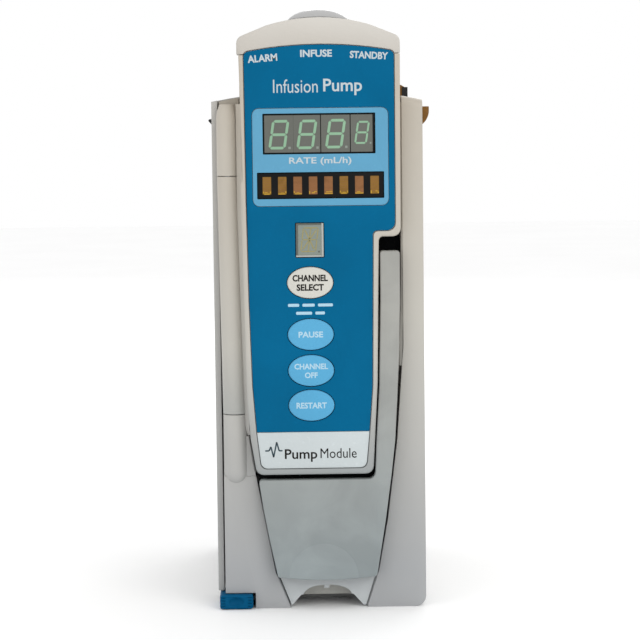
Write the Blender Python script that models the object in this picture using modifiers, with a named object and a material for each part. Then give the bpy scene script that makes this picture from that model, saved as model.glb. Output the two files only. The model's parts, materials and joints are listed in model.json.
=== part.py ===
"""A single-channel infusion pump module, built as an assembly of separate solids.

Frame: +Z up, the front faces -Y, +X is the user's right. The origin is on the plane that
the module stands on, on the centre line of its case. Dimensions below are in millimetres
and are scaled to Blender's metres as each mesh is made.
"""

import math

import bmesh
import bpy
from mathutils import Matrix, Vector

MM = 0.001
GAP = 0.3  # clearance between neighbouring pieces

# ---------------------------------------------------------------- driving dimensions
CASE_LEFT, CASE_RIGHT = -40.2, 38.8
FRONT_CASE_LEFT = -37.4  # the front case stands inside the rear case's left cheek
CHEEK_FRONT, CHEEK_INSIDE = -57.5, -38.0
CASE_SHOULDER_Z = 192.0
CASE_CROWN = 4.0
CASE_BACK = 70.0
CASE_SEAM = -44.0  # where the front and the rear case meet
CASE_FRONT = -63.5
WALL = 2.5
FOOT_RADIUS = 4.0
RELEASE_TOP = 6.0  # top of the notch in the case's left corner that the release latch lies in

FLOOR_FRONT = -52.4  # the surface that the closed door covers
FLOOR_BACK = -45.4
CHANNEL_BOTTOM = -47.6
CHANNEL_X = 1.6  # centre line of the tube channel and of the pumping mechanism
CHANNEL_WIDTH = 7.0

DOOR_FRONT = -70.0
DOOR_BACK = -53.0
DOOR_APRON_FRONT = -62.5  # the thin lower part of the door, behind the handle
PANEL_FLOOR = -68.9  # bottom of the shallow pocket that holds the keypad overlay
DOOR_INSIDE = -66.9
BOARD_FRONT = -64.0

HEAD_SHOULDER_Z = 215.4
HEAD_CROWN = 7.3
LENS_SEAM_Z = 209.0
TOTAL_HEIGHT = 226.0

HINGE_X, HINGE_Y = -34.0, -61.0
KNUCKLE_LOW, KNUCKLE_HIGH = 74.6, 164.0  # seams between the case's knuckles and the door's
BARREL_TOP, BARREL_BOTTOM = 191.0, 47.6

HANDLE_FRONT, HANDLE_BACK = -69.5, -64.5
HANDLE_PIVOT_Y, HANDLE_PIVOT_Z = -61.6, 131.5

KEY_X = -4.0
KEY_HALF_WIDTH, KEY_HALF_HEIGHT = 8.6, 5.9
KEY_ROWS = {"key_select": 124.3, "key_pause": 104.9, "key_off": 91.3, "key_restart": 78.2}
KEY_FRONT, KEY_BACK = -70.2, -65.0
PLATE_TOP = 68.2  # where the blue overlay meets the pale plate below it
SURROUND_X, SURROUND_Z = (-24.8, 25.6), (153.0, 189.2)
RATE_X, RATE_Z = (-20.7, 20.6), (172.5, 187.0)
MESSAGE_X, MESSAGE_Z = (-23.0, 23.7), (155.9, 165.2)
CHANNEL_WINDOW_X, CHANNEL_WINDOW_Z = (-9.1, 1.2), (133.9, 146.5)

FOOT_LEVEL = 0.6  # the foot of the door and of its apron
EXIT_TOP = 4.9  # the flat top of the notch that the tube leaves by
HANDLE_FOOT = 12.8

FINGER_COUNT, FINGER_PITCH, FINGER_LOW_Z = 8, 7.0, 95.5
FINGER_TIP, FINGER_TAIL = -45.7, -32.5
CAMSHAFT_Y = -26.5
CAM_RADIUS, CAM_THROW = 4.5, 1.0
GEAR_MODULE, GEAR_TEETH, PINION_TEETH = 0.6, 36, 12
GEAR_LOW_Z, GEAR_HIGH_Z = 75.5, 79.5
MOTOR_RADIUS, MOTOR_LOW_Z, MOTOR_HIGH_Z = 10.0, 30.0, 70.2

CONNECTOR_Y = (-38.0, -6.0)
CONNECTOR_Z = (156.0, 186.0)
CONNECTOR_PROUD = 0.4
HOOK_TIP, HOOK_TOP = 43.2, 189.4
TAB_X, TAB_Y = (31.2, 34.8), (-36.0, -20.0)  # the locating tab on the case's right shoulder

# Each material is (name, colour, roughness, metallic).
BEIGE = ("beige", (0.70, 0.65, 0.58), 0.45, 0.0)
GREY_CASE = ("grey_case", (0.60, 0.60, 0.58), 0.50, 0.0)
HANDLE_GREY = ("handle_grey", (0.33, 0.35, 0.35), 0.50, 0.0)
PANEL_BLUE = ("panel_blue", (0.01, 0.13, 0.30), 0.35, 0.0)
LIGHT_BLUE = ("light_blue", (0.14, 0.40, 0.60), 0.35, 0.0)
LATCH_BLUE = ("latch_blue", (0.01, 0.14, 0.28), 0.45, 0.0)
KEY_BLUE = ("key_blue", (0.10, 0.42, 0.68), 0.35, 0.0)
KEY_WHITE = ("key_white", (0.75, 0.76, 0.72), 0.35, 0.0)
PLATE_WHITE = ("plate_white", (0.68, 0.72, 0.72), 0.35, 0.0)
LENS_WHITE = ("lens_white", (0.72, 0.70, 0.66), 0.30, 0.0)
DOME_GREY = ("dome_grey", (0.45, 0.46, 0.48), 0.25, 0.0)
SCREEN_GREY = ("screen_grey", (0.10, 0.11, 0.10), 0.20, 0.0)
SCREEN_BLACK = ("screen_black", (0.01, 0.01, 0.01), 0.15, 0.0)
WINDOW_GREY = ("window_grey", (0.32, 0.34, 0.30), 0.25, 0.0)
AMBER = ("amber", (0.30, 0.16, 0.04), 0.30, 0.0)
BLACK_PLASTIC = ("black_plastic", (0.02, 0.02, 0.02), 0.45, 0.0)
STEEL = ("steel", (0.55, 0.55, 0.55), 0.30, 1.0)
ALUMINIUM = ("aluminium", (0.62, 0.63, 0.64), 0.35, 1.0)
BRASS = ("brass", (0.60, 0.42, 0.15), 0.30, 1.0)
SILICONE = ("silicone", (0.55, 0.60, 0.62), 0.55, 0.0)
INNER_WHITE = ("inner_white", (0.66, 0.66, 0.62), 0.50, 0.0)
BOARD_GREEN = ("board_green", (0.02, 0.16, 0.07), 0.50, 0.0)


# ---------------------------------------------------------------- scene and materials
def clear_scene():
    for obj in list(bpy.data.objects):
        bpy.data.objects.remove(obj)


def new_collection(name):
    collection = bpy.data.collections.new(name)
    bpy.context.scene.collection.children.link(collection)
    return collection


def painted(look):
    """A Principled BSDF material from a (name, colour, roughness, metallic) look."""
    name, colour, roughness, metallic = look
    material = bpy.data.materials.get(name)
    if material is None:
        material = bpy.data.materials.new(name)
        material.use_nodes = True
        shader = material.node_tree.nodes["Principled BSDF"]
        shader.inputs["Base Color"].default_value = (*colour, 1.0)
        shader.inputs["Roughness"].default_value = roughness
        shader.inputs["Metallic"].default_value = metallic
    return material


# ---------------------------------------------------------------- outlines, in (u, v)
def filleted(corners, steps=4):
    """The closed outline through (u, v, radius) corners, each rounded by an arc of its radius."""
    points = []
    for i, (u, v, radius) in enumerate(corners):
        corner = Vector((u, v))
        if radius <= 0:
            points.append((u, v))
            continue
        before = Vector(corners[i - 1][:2]) - corner
        after = Vector(corners[(i + 1) % len(corners)][:2]) - corner
        half = before.angle(after) / 2
        reach = radius / math.tan(half)
        middle = corner + (before.normalized() + after.normalized()).normalized() * (radius / math.sin(half))
        start = corner + before.normalized() * reach - middle
        end = corner + after.normalized() * reach - middle
        sweep = start.angle_signed(end)
        for k in range(steps + 1):
            turned = start.copy()
            turned.rotate(Matrix.Rotation(-sweep * k / steps, 2))
            points.append(tuple(middle + turned))
    return points


def bowed(start, end, rise, steps=12):
    """Points strictly between start and end on the arc that rises by `rise` to the left of the way."""
    (u0, v0), (u1, v1) = start, end
    half = math.hypot(u1 - u0, v1 - v0) / 2
    radius = (half * half + rise * rise) / (2 * rise)
    along = Vector((u1 - u0, v1 - v0)).normalized()
    left = Vector((-along.y, along.x))
    middle = Vector(((u0 + u1) / 2, (v0 + v1) / 2)) + left * (rise - radius)
    reach = math.asin(half / abs(radius))
    points = []
    for k in range(1, steps):
        angle = -reach + 2 * reach * k / steps
        point = middle + along * abs(radius) * math.sin(angle) + left * radius * math.cos(angle)
        points.append(tuple(point))
    return points


def ellipse(u, v, half_width, half_height, steps=32):
    return [
        (u + half_width * math.cos(a), v + half_height * math.sin(a))
        for a in (2 * math.pi * k / steps for k in range(steps))
    ]


def rectangle(low_u, high_u, low_v, high_v, radius=0.0):
    corners = [(low_u, low_v), (high_u, low_v), (high_u, high_v), (low_u, high_v)]
    return filleted([(u, v, radius) for u, v in corners])


def around(x, z, clearance, radius):
    """The rounded rectangle that leaves a clearance around an (x, z) window."""
    return rectangle(x[0] - clearance, x[1] + clearance, z[0] - clearance, z[1] + clearance, radius)


def case_outline(left=CASE_LEFT, inset=0.0):
    """The case seen from the front: straight sides, a crowned top and rounded lower corners."""
    low_x, high_x = left + inset, CASE_RIGHT - inset
    shoulder = CASE_SHOULDER_Z - inset
    crown = [(u, v, 0) for u, v in bowed((high_x, shoulder), (low_x, shoulder), -CASE_CROWN)]
    return filleted([
        (low_x, inset, FOOT_RADIUS), (high_x, inset, FOOT_RADIUS),
        (high_x, shoulder, 0), *crown, (low_x, shoulder, 0),
    ])


def door_outline(inset=0.0, top=None):
    """The door seen from the front. Above `top` it is cut off square; otherwise it ends in the head."""
    d = inset
    right = [
        (19.0 - d, 52.0 + d, 3.0), (19.6 - d, 64.1, 0), (20.9 - d, 86.6, 0), (21.5 - d, 116.7, 0),
        (21.8 - d, 141.2 + d, 1.6), (30.0 - d, 141.2 + d, 3.0),
    ]
    left = [
        (-29.6 + d, 162.0, 0), (-28.9 + d, 130.0, 0), (-28.5 + d, 100.0, 0), (-28.2 + d, 80.0, 0),
        (-27.0 + d, 65.4, 0), (-24.8 + d, 52.0 + d, 3.0),
    ]
    if top is not None:
        crown = [(30.2 - d, top, 0), (-29.6 + d, top, 0)]
    else:
        arch_ends = (30.3 - d, HEAD_SHOULDER_Z - d), (-30.3 + d, HEAD_SHOULDER_Z - d)
        arch = bowed(*arch_ends, -HEAD_CROWN, 16)
        crown = [(*arch_ends[0], 3.0), *[(u, v, 0) for u, v in arch[2:-2]], (*arch_ends[1], 3.0)]
        crown += [(-30.3 + d, 197.4, 0), (-29.6 + d, 196.6, 0)]
    return filleted([*right, *crown, *left])


def panel_outline(inset=0.0, low=None):
    """The printed front panel set into the door, or the part of it above or below the white plate's edge."""
    d = inset
    arch_ends = (28.3 - d, 210.3 - d), (-28.0 + d, 210.3 - d)
    arch = [(u, v, 0) for u, v in bowed(*arch_ends, -2.6, 12)]
    crown = [(*arch_ends[0], 2.0), *arch, (*arch_ends[1], 2.0)]
    right = [
        (19.2 - d, 85.5, 0), (19.7 - d, 116.7, 0), (19.9 - d, 143.2 + d, 1.6), (28.2 - d, 143.2 + d, 3.0),
    ]
    left = [(-27.7 + d, 155.0, 0), (-27.1 + d, 117.3, 0), (-26.2 + d, 86.0, 0)]
    if low is not None:
        corners = [(-24.9 + d, low, 0), (17.9 - d, low, 0), *right, *crown, *left]
    else:
        foot = [(-23.3 + d, 54.2 + d, 2.5), (16.6 - d, 54.2 + d, 2.5)]
        corners = [(-24.9 + d, PLATE_TOP, 0), *foot, (17.9 - d, PLATE_TOP, 0), *right, *crown, *left]
    return filleted(corners)


def plate_outline(inset=0.0):
    """The plain pale plate at the foot of the front panel."""
    d = inset
    high = PLATE_TOP - GAP / 3
    return filleted([
        (-24.9 + d, high, 0), (-23.3 + d, 54.2 + d, 2.5), (16.6 - d, 54.2 + d, 2.5), (17.9 - d, high, 0),
    ])


def handle_outline():
    """The L-shaped door handle: a narrow arm on the right that widens into a tapered grip below the door."""
    right = [
        (22.2, 135.8, 1.1), (29.6, 135.8, 1.1), (29.5, 116.6, 0), (29.0, 97.8, 0), (28.1, 79.0, 0),
        (27.2, 64.0, 0), (25.8, 51.6, 0), (23.4, 33.9, 0), (20.0, HANDLE_FOOT, 1.2),
    ]
    foot = [(u, v, 0) for u, v in bowed((20.0, HANDLE_FOOT), (-17.4, HANDLE_FOOT), 1.2, 8)[1:-1]]
    left = [
        (-17.4, HANDLE_FOOT, 1.2), (-20.4, 27.1, 0), (-22.7, 39.6, 0), (-24.2, 50.0, 1.2), (19.6, 50.0, 2.5),
        (20.2, 64.1, 0), (21.5, 85.5, 0), (22.2, 116.7, 0),
    ]
    return filleted([*right, *foot, *left][::-1])


def apron_outline(inset=0.0):
    """The lower part of the door, behind the handle, with the arched tube exit at its foot."""
    d = inset
    return filleted([
        (16.0 - d, FOOT_LEVEL + d, 0.6), (20.2 - d, 14.0, 0), (23.8 - d, 33.9, 0), (27.6 - d, 64.0, 0),
        (29.6 - d, 100.0, 0), (29.6 - d, 112.0 - d, 0.6), (-23.0 + d, 112.0 - d, 0.6),
        (-24.0 + d, 51.0, 0), (-17.3 + d, 13.4, 0), (-12.2 + d, FOOT_LEVEL + d, 0.6),
    ])


def leaf_outline(inset, top):
    """The whole door behind its handle: the head and the column, and the apron below them."""
    d = inset
    return filleted([
        (16.0 - d, FOOT_LEVEL + d, 0.6), (20.2 - d, 14.0, 0), (23.8 - d, 33.9, 0), (27.6 - d, 64.0, 0),
        (29.6 - d, 100.0, 0), (29.6 - d, 112.0 - d, 0.6), (21.4 - d, 112.0 - d, 0), (21.5 - d, 116.7, 0),
        (21.8 - d, 141.2 + d, 1.6), (30.0 - d, 141.2 + d, 3.0), (30.2 - d, top, 0), (-29.6 + d, top, 0),
        (-29.6 + d, 162.0, 0), (-28.9 + d, 130.0, 0), (-28.5 + d, 100.0, 0), (-28.2 + d, 80.0, 0),
        (-27.0 + d, 65.4, 0), (-24.6 + d, 51.0, 0), (-17.3 + d, 13.4, 0), (-12.2 + d, FOOT_LEVEL + d, 0.6),
    ])


def recess_outline():
    """The opening in the front case that the door and its handle lie in. It runs out past top and foot."""
    return [
        (16.5, -5.0), (16.5, 0.0), (20.9, 14.0), (24.5, 33.9), (28.3, 64.0), (30.9, 100.0), (31.0, 240.0),
        (-29.9, 240.0), (-29.9, 52.0), (-25.2, 50.6), (-18.2, 13.4), (-12.7, 0.0), (-12.7, -5.0),
    ]


def exit_outline(top, foot_half=14.6, top_half=9.9, radius=0.0):
    """The notch at the foot that the tube leaves by: a trapezium that runs out past the foot."""
    middle = 1.3
    return filleted([
        (middle - foot_half, -4.0, 0), (middle + foot_half, -4.0, 0), (middle + foot_half, -0.4, 0),
        (middle + top_half, top, radius), (middle - top_half, top, radius), (middle - foot_half, -0.4, 0),
    ])


def gear_outline(teeth, module, backlash=0.16):
    """Straight-flanked teeth with running backlash, about the origin."""
    pitch = module * teeth / 2
    root, tip = pitch - 1.2 * module, pitch + 0.85 * module
    step = 2 * math.pi / teeth
    points = []
    for k in range(teeth):
        middle = k * step
        for radius, share in ((root, 0.36), (tip, 0.17), (tip, -0.17), (root, -0.36)):
            half = share * step * (1 - backlash)
            angle = middle - half
            points.append((radius * math.cos(angle), radius * math.sin(angle)))
    return points


# ---------------------------------------------------------------- solids
# Turns an outline's (u, v) plane and its extrusion onto the model's axes, for each axis of extrusion.
FACINGS = {
    "X": Matrix(((0, 0, 1), (1, 0, 0), (0, 1, 0))).to_4x4(),
    "Y": Matrix(((1, 0, 0), (0, 0, 1), (0, 1, 0))).to_4x4(),
    "Z": Matrix.Identity(4),
}


def finished(obj, look=None):
    """Puts the object in the collection it belongs to: the model's if it has a look, else the cutters'."""
    for collection in list(obj.users_collection):
        collection.objects.unlink(obj)
    if look is None:
        CUTTERS.objects.link(obj)
        obj.hide_render = True
        obj.display_type = "WIRE"
    else:
        MODEL.objects.link(obj)
        obj.data.materials.clear()
        obj.data.materials.append(painted(look))
    return obj


def from_bmesh(name, mesh, look):
    data = bpy.data.meshes.new(name)
    mesh.to_mesh(data)
    mesh.free()
    return finished(bpy.data.objects.new(name, data), look)


def extruded(name, outline, low, high, axis="Y", look=None):
    """A flat outline extruded from low to high along an axis. Outlines along Y are (x, z), along X (y, z)."""
    mesh = bmesh.new()
    near, far = [[mesh.verts.new((u * MM, v * MM, w * MM)) for u, v in outline] for w in (low, high)]
    mesh.faces.new(near)
    mesh.faces.new(far)
    for k in range(len(outline)):
        mesh.faces.new((near[k - 1], near[k], far[k], far[k - 1]))
    bmesh.ops.transform(mesh, matrix=FACINGS[axis], verts=mesh.verts)
    bmesh.ops.recalc_face_normals(mesh, faces=mesh.faces)
    return from_bmesh(name, mesh, look)


def block(name, x, y, z, look=None):
    """A box between (low, high) pairs."""
    mesh = bmesh.new()
    bmesh.ops.create_cube(mesh, size=1)
    size = Matrix.Diagonal((*[(high - low) * MM for low, high in (x, y, z)], 1))
    centre = Matrix.Translation([(low + high) / 2 * MM for low, high in (x, y, z)])
    bmesh.ops.transform(mesh, matrix=centre @ size, verts=mesh.verts)
    return from_bmesh(name, mesh, look)


def rod(name, centre, radius, length, axis="Z", look=None, sides=32, far_radius=None):
    """A cylinder or cone about a centre point, along an axis. far_radius is its radius at the high end."""
    mesh = bmesh.new()
    high = radius if far_radius is None else far_radius
    bmesh.ops.create_cone(
        mesh, cap_ends=True, segments=sides, radius1=radius * MM, radius2=high * MM, depth=length * MM
    )
    turn = FACINGS[axis]
    bmesh.ops.transform(mesh, matrix=Matrix.Translation(Vector(centre) * MM) @ turn, verts=mesh.verts)
    bmesh.ops.recalc_face_normals(mesh, faces=mesh.faces)
    return from_bmesh(name, mesh, look)


def ball(name, centre, radii, look=None, rings=12, sides=24):
    mesh = bmesh.new()
    bmesh.ops.create_uvsphere(mesh, u_segments=sides, v_segments=rings, radius=1)
    size = Matrix.Diagonal((*[r * MM for r in radii], 1))
    bmesh.ops.transform(mesh, matrix=Matrix.Translation(Vector(centre) * MM) @ size, verts=mesh.verts)
    return from_bmesh(name, mesh, look)


def coil(name, centre, radius, wire, low, high, turns, look, axis="Y"):
    """A compression spring between low and high along an axis."""
    curve = bpy.data.curves.new(name, "CURVE")
    curve.dimensions = "3D"
    curve.bevel_depth = wire * MM
    curve.bevel_resolution = 1
    curve.use_fill_caps = True
    spline = curve.splines.new("POLY")
    count = turns * 12
    spline.points.add(count)
    for k, point in enumerate(spline.points):
        angle = 2 * math.pi * k / 12
        along = low + wire + (high - low - 2 * wire) * k / count
        around = (radius * math.cos(angle), radius * math.sin(angle))
        place = (centre[0] + around[0], along, centre[1] + around[1])
        if axis == "Z":
            place = (centre[0] + around[0], centre[1] + around[1], along)
        point.co = (*[value * MM for value in place], 1)
    return finished(bpy.data.objects.new(name, curve), look)


# ---------------------------------------------------------------- operations on solids
def combine(obj, operation, others):
    for other in others:
        if other.name not in CUTTERS.objects:
            finished(other)
        modifier = obj.modifiers.new(f"{operation.lower()} {other.name}", "BOOLEAN")
        modifier.operation = operation
        modifier.solver = "EXACT"
        modifier.object = other
    return obj


def cut(obj, *others):
    return combine(obj, "DIFFERENCE", others)


def fuse(obj, *others):
    return combine(obj, "UNION", others)


def softened(obj, width, segments=2, near=None):
    """Rounds every sharp edge, or only those whose two ends pass the `near` test (given in millimetres)."""
    modifier = obj.modifiers.new("rounded edges", "BEVEL")
    modifier.width = width * MM
    modifier.segments = segments
    if near is None:
        modifier.limit_method = "ANGLE"
        modifier.angle_limit = math.radians(40)
        return obj
    weights = obj.data.attributes.new("bevel_weight_edge", "FLOAT", "EDGE")
    points = [vertex.co / MM for vertex in obj.data.vertices]
    for edge in obj.data.edges:
        weights.data[edge.index].value = float(all(near(points[i]) for i in edge.vertices))
    modifier.limit_method = "WEIGHT"
    return obj


def pivot(name, x, y, z):
    """An empty on a joint's axis, which carries the pieces that turn or slide on it."""
    empty = bpy.data.objects.new(name, None)
    empty.location = Vector((x, y, z)) * MM
    empty.empty_display_size = 5 * MM
    MODEL.objects.link(empty)
    bpy.context.view_layer.update()
    return empty


def carry(empty, *pieces):
    for piece in pieces:
        piece.parent = empty
        piece.matrix_parent_inverse = empty.matrix_world.inverted()


# ---------------------------------------------------------------- case
def barrel_at(z):
    """Centre x and radius of the hinge barrel at a height: it tapers and leans a little towards the top."""
    share = (z - KNUCKLE_LOW) / (KNUCKLE_HIGH - KNUCKLE_LOW)
    return -32.7 - 1.6 * share, 4.65 - 0.6 * share


def turned(name, rings, look=None, sides=32):
    """A closed solid about a vertical line near the hinge: (centre x, radius, z) rings from the foot up."""
    mesh = bmesh.new()
    loops = []
    for x, radius, z in rings:
        ring = [
            mesh.verts.new(((x + radius * math.cos(a)) * MM, (HINGE_Y + radius * math.sin(a)) * MM, z * MM))
            for a in (2 * math.pi * k / sides for k in range(sides))
        ]
        loops.append(ring)
    for lower, upper in zip(loops, loops[1:]):
        for k in range(sides):
            after = (k + 1) % sides
            mesh.faces.new((lower[k], lower[after], upper[after], upper[k]))
    mesh.faces.new(loops[0][::-1])
    mesh.faces.new(loops[-1])
    return from_bmesh(name, mesh, look)


def make_front_case():
    hollow = case_outline(FRONT_CASE_LEFT, WALL)
    case = extruded("front_case", case_outline(FRONT_CASE_LEFT), CASE_FRONT, CASE_SEAM, "Y", BEIGE)
    softened(case, 3.2, 4, lambda p: p.y < CASE_FRONT + 0.1 and p.z > FOOT_RADIUS)
    groove = [(-90, 42.0), (-70, 46.0), (HINGE_Y + 5.1, 56.0), (HINGE_Y + 5.1, 240), (-90, 240)]
    cut(
        case,
        extruded("front_case_hollow", hollow, FLOOR_BACK, CASE_SEAM + 5),
        # the left column is cut back for the hinge barrel
        extruded("hinge_groove", groove, -60, -27, "X"),
        extruded("front_case_recess", recess_outline(), DOOR_FRONT - 20, FLOOR_FRONT),
    )
    add_case_knuckles(case)
    cut_tube_channel(case)
    return cut(
        case,
        # pocket for the door's latch hook, between the door and the right column
        block("latch_pocket", (22.4, 30.6), (-60, FLOOR_BACK - 1.5), (112.5, 141.5)),
        extruded("foot_notch", exit_outline(EXIT_TOP - 0.3, radius=1.2), -90, CASE_SEAM + 5),
        block("release_latch_corner", (-50, -26.0), (-80, -46.4), (-4, RELEASE_TOP)),
        block("latch_stem_slot", (-36.9, -29.1), (-50, CASE_SEAM + 5), (2.6, 5.8)),
    )


def add_case_knuckles(case):
    upper_x, upper_radius = barrel_at(KNUCKLE_HIGH)
    lower_x, lower_radius = barrel_at(KNUCKLE_LOW)
    middle = BARREL_BOTTOM + lower_radius
    cap = [
        (lower_x, lower_radius * math.cos(a), middle - lower_radius * math.sin(a))
        for a in (math.radians(degrees) for degrees in (84, 70, 55, 40, 25, 12))
    ]
    behind = (HINGE_Y, FLOOR_FRONT + 1)
    web_top = KNUCKLE_LOW - GAP
    lower_web = [(-37.2, 46), (-26.5, 46), (-25.3, 51.9), (-27.5, 65.4), (-28.1, web_top), (-37.2, web_top)]
    upper_foot = KNUCKLE_HIGH + GAP
    tip = ((0, upper_foot), (0, BARREL_TOP - 5), (0.4, BARREL_TOP - 2.4), (1.3, BARREL_TOP))
    upper_web_x = (FRONT_CASE_LEFT + 0.2, -30.3)
    fuse(
        case,
        turned("upper_knuckle", [(upper_x, upper_radius - inset, z) for inset, z in tip]),
        block("upper_knuckle_web", upper_web_x, behind, (upper_foot, BARREL_TOP - 5.2)),
        turned("lower_knuckle", [*cap, (lower_x, lower_radius, middle), (lower_x, lower_radius, web_top)]),
        extruded("lower_knuckle_web", lower_web, HINGE_Y - 1.4, FLOOR_FRONT + 1),
    )
    cut(case, rod("case_hinge_bore", (HINGE_X, HINGE_Y, 120), 1.8, 138.6, sides=20))


def cut_tube_channel(case):
    half = CHANNEL_WIDTH / 2
    x = (CHANNEL_X - half, CHANNEL_X + half)
    finger_high = FINGER_LOW_Z + FINGER_PITCH * (FINGER_COUNT - 1)
    window = (FINGER_LOW_Z - 4.5, finger_high + 4.5)
    cut(
        case,
        block("tube_channel", x, (-90, CHANNEL_BOTTOM), (-5, 240)),
        block("finger_window", (CHANNEL_X - 3.3, CHANNEL_X + 3.3), (-60, -40), window),
        block("air_sensor_pocket", (CHANNEL_X - 8.3, CHANNEL_X + 8.3), (-90, -45.9), (56.7, 68.3)),
        block("clamp_pocket", (CHANNEL_X - 11.3, CHANNEL_X + 11.3), (-90, -45.9), (26.7, 46.3)),
        block("upper_fitment_pocket", (CHANNEL_X - 9.3, CHANNEL_X + 9.3), (-90, -45.9), (174.7, 188.3)),
    )


def make_rear_case():
    case = extruded("rear_case", case_outline(), CHEEK_FRONT, CASE_BACK, "Y", GREY_CASE)
    softened(case, 3.6, 4, lambda p: p.y > CASE_BACK - 0.1)
    cut(case, block("cheek_space", (CHEEK_INSIDE, 60), (-90, CASE_SEAM + 0.4), (-5, 240)))
    cut(case, extruded("rear_case_hollow", case_outline(CASE_LEFT, WALL), CASE_SEAM - 5, CASE_BACK - 3.0))
    screws = [(x, z) for x in (-30.0, 30.0) for z in (14.0, 178.0)]
    fuse(case, block("latch_spring_seat", (-37, -29), (-33.9, -31.9), (2, 8.4)), *[
        rod(f"screw_boss_{i}", (x, CASE_BACK - 8.2, z), 5.0, 13, "Y", sides=20)
        for i, (x, z) in enumerate(screws)
    ])
    cut(case, *[
        rod(f"screw_bore_{i}", (x, CASE_BACK, z), 1.8, 40, "Y", sides=16) for i, (x, z) in enumerate(screws)
    ])
    cut(case, *[
        rod(f"screw_seat_{i}", (x, CASE_BACK, z), 3.8, 7, "Y", sides=24) for i, (x, z) in enumerate(screws)
    ])
    cut(case, extruded("rating_plate_recess", rectangle(-22, 22, 40, 92, 3), CASE_BACK - 0.8, CASE_BACK + 5))
    for i, z in enumerate(range(128, 160, 6)):
        slot = rectangle(-16, 16, z - 1.1, z + 1.1, 1.05)
        cut(case, extruded(f"rear_vent_{i}", slot, CASE_BACK - 8, CASE_BACK + 5))
    opening_y = (CONNECTOR_Y[0] - GAP, CONNECTOR_Y[1] + GAP)
    opening_z = (CONNECTOR_Z[0] - GAP, CONNECTOR_Z[1] + GAP)
    cut(case, extruded("connector_opening", rectangle(*opening_y, *opening_z, 2), -60, 60, "X"))
    cut(case, block("release_latch_notch", (-50, -26.0), (-60, -38.0), (-4, RELEASE_TOP)))
    tab_x, tab_y = (TAB_X[0] - GAP, TAB_X[1] + GAP), (TAB_Y[0] - GAP, TAB_Y[1] + GAP)
    cut(case, block("tab_slot", tab_x, tab_y, (186, 240)))
    for i, (x, z) in enumerate(screws):
        make_case_screw(f"case_screw_{i + 1}", x, z)
    return case


def make_case_screw(name, x, z):
    head_front = CASE_BACK - 3.3
    screw = rod(name, (x, head_front + 1.1, z), 3.2, 2.2, "Y", STEEL, 24)
    fuse(screw, rod(name + "_shank", (x, head_front - 5, z), 1.4, 10.5, "Y", sides=16))
    for i, (width, height) in enumerate(((3.6, 0.8), (0.8, 3.6))):
        slot_x, slot_z = (x - width / 2, x + width / 2), (z - height / 2, z + height / 2)
        cut(screw, block(f"{name}_slot_{i}", slot_x, (head_front + 1.2, head_front + 5), slot_z))


def make_release_latch():
    """The thumb latch at the foot of the left side: it slides back into the case against its spring."""
    carrier = pivot("release_latch_slide", -32.4, -60, 4)
    latch = block("release_latch", (-39.6, -27.0), (-65.8, -49.8), (0.2, 5.7), LATCH_BLUE)
    softened(latch, 0.9, 2)
    fuse(latch, block("latch_stem", (-36.5, -29.5), (-51, -41.5), (2.9, 5.4)))
    cut(latch, ball("thumb_dimple", (-33.3, -66.9, 3.0), (3.4, 2.2, 2.1), rings=10, sides=20))
    for i in range(4):
        z = 1.3 + 1.1 * i
        groove = (z - 0.18, z + 0.18)
        for side, x in (("left", (-45, -37.6)), ("right", (-29.0, -24))):
            cut(latch, block(f"latch_groove_{side}_{i}", x, (-70, -65.4), groove))
    spring = coil("release_latch_spring", (-33.0, 4.9), 1.7, 0.3, -41.2, -34.2, 4, STEEL)
    carry(carrier, latch)
    return spring


# ---------------------------------------------------------------- connectors between modules
def make_connectors():
    """What holds one module to the next: a lipped frame on the left, and a hook for it on the right."""
    (low_y, high_y), (low_z, high_z) = CONNECTOR_Y, CONNECTOR_Z
    frame_outline = rectangle(low_y, high_y, low_z, high_z, 1.6)
    socket_outline = rectangle(low_y + 4, high_y - 4, low_z + 4, high_z - 10, 1)
    left, right = CASE_LEFT - CONNECTOR_PROUD, CASE_RIGHT + CONNECTOR_PROUD
    receiver = extruded("left_connector", frame_outline, left, CASE_LEFT + 9, "X", BLACK_PLASTIC)
    cut(receiver, extruded("left_socket", socket_outline, -60, CASE_LEFT + 5, "X"))
    # a lip above the frame keeps a neighbour's hook in
    lip_top = high_z - 0.6
    lip = filleted([(left - 2.0, lip_top, 0.5), (left + 1, lip_top - 3.4, 0), (left + 1, lip_top, 0)])
    fuse(receiver, extruded("left_lip", lip[::-1], low_y + 3, high_y - 3))
    plug = extruded("right_connector", frame_outline, CASE_RIGHT - 9, right, "X", BLACK_PLASTIC)
    cut(plug, extruded("right_socket", socket_outline, CASE_RIGHT - 5, 60, "X"))
    # the hook is flat on top and curved underneath
    inner = right + GAP
    curve = bowed((HOOK_TIP, HOOK_TOP - 1.2), (inner, HOOK_TOP - 7.6), 1.1, 8)
    tip = [(HOOK_TIP, HOOK_TOP - 1.2), (HOOK_TIP, HOOK_TOP)]
    profile = [(inner, HOOK_TOP), (inner, HOOK_TOP - 7.6), *curve[::-1], *tip]
    extruded("right_connector_hook", profile, low_y + 5, high_y - 5, "Y", AMBER)
    # a locating tab that stands up through the case's right shoulder
    near, far = TAB_X
    tab = filleted([(near, 187.0, 0), (far, 187.0, 0), (far, 196.2, 0.8), (near, 198.4, 0.8)])
    extruded("connector_tab", tab, *TAB_Y, "Y", AMBER)


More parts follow.
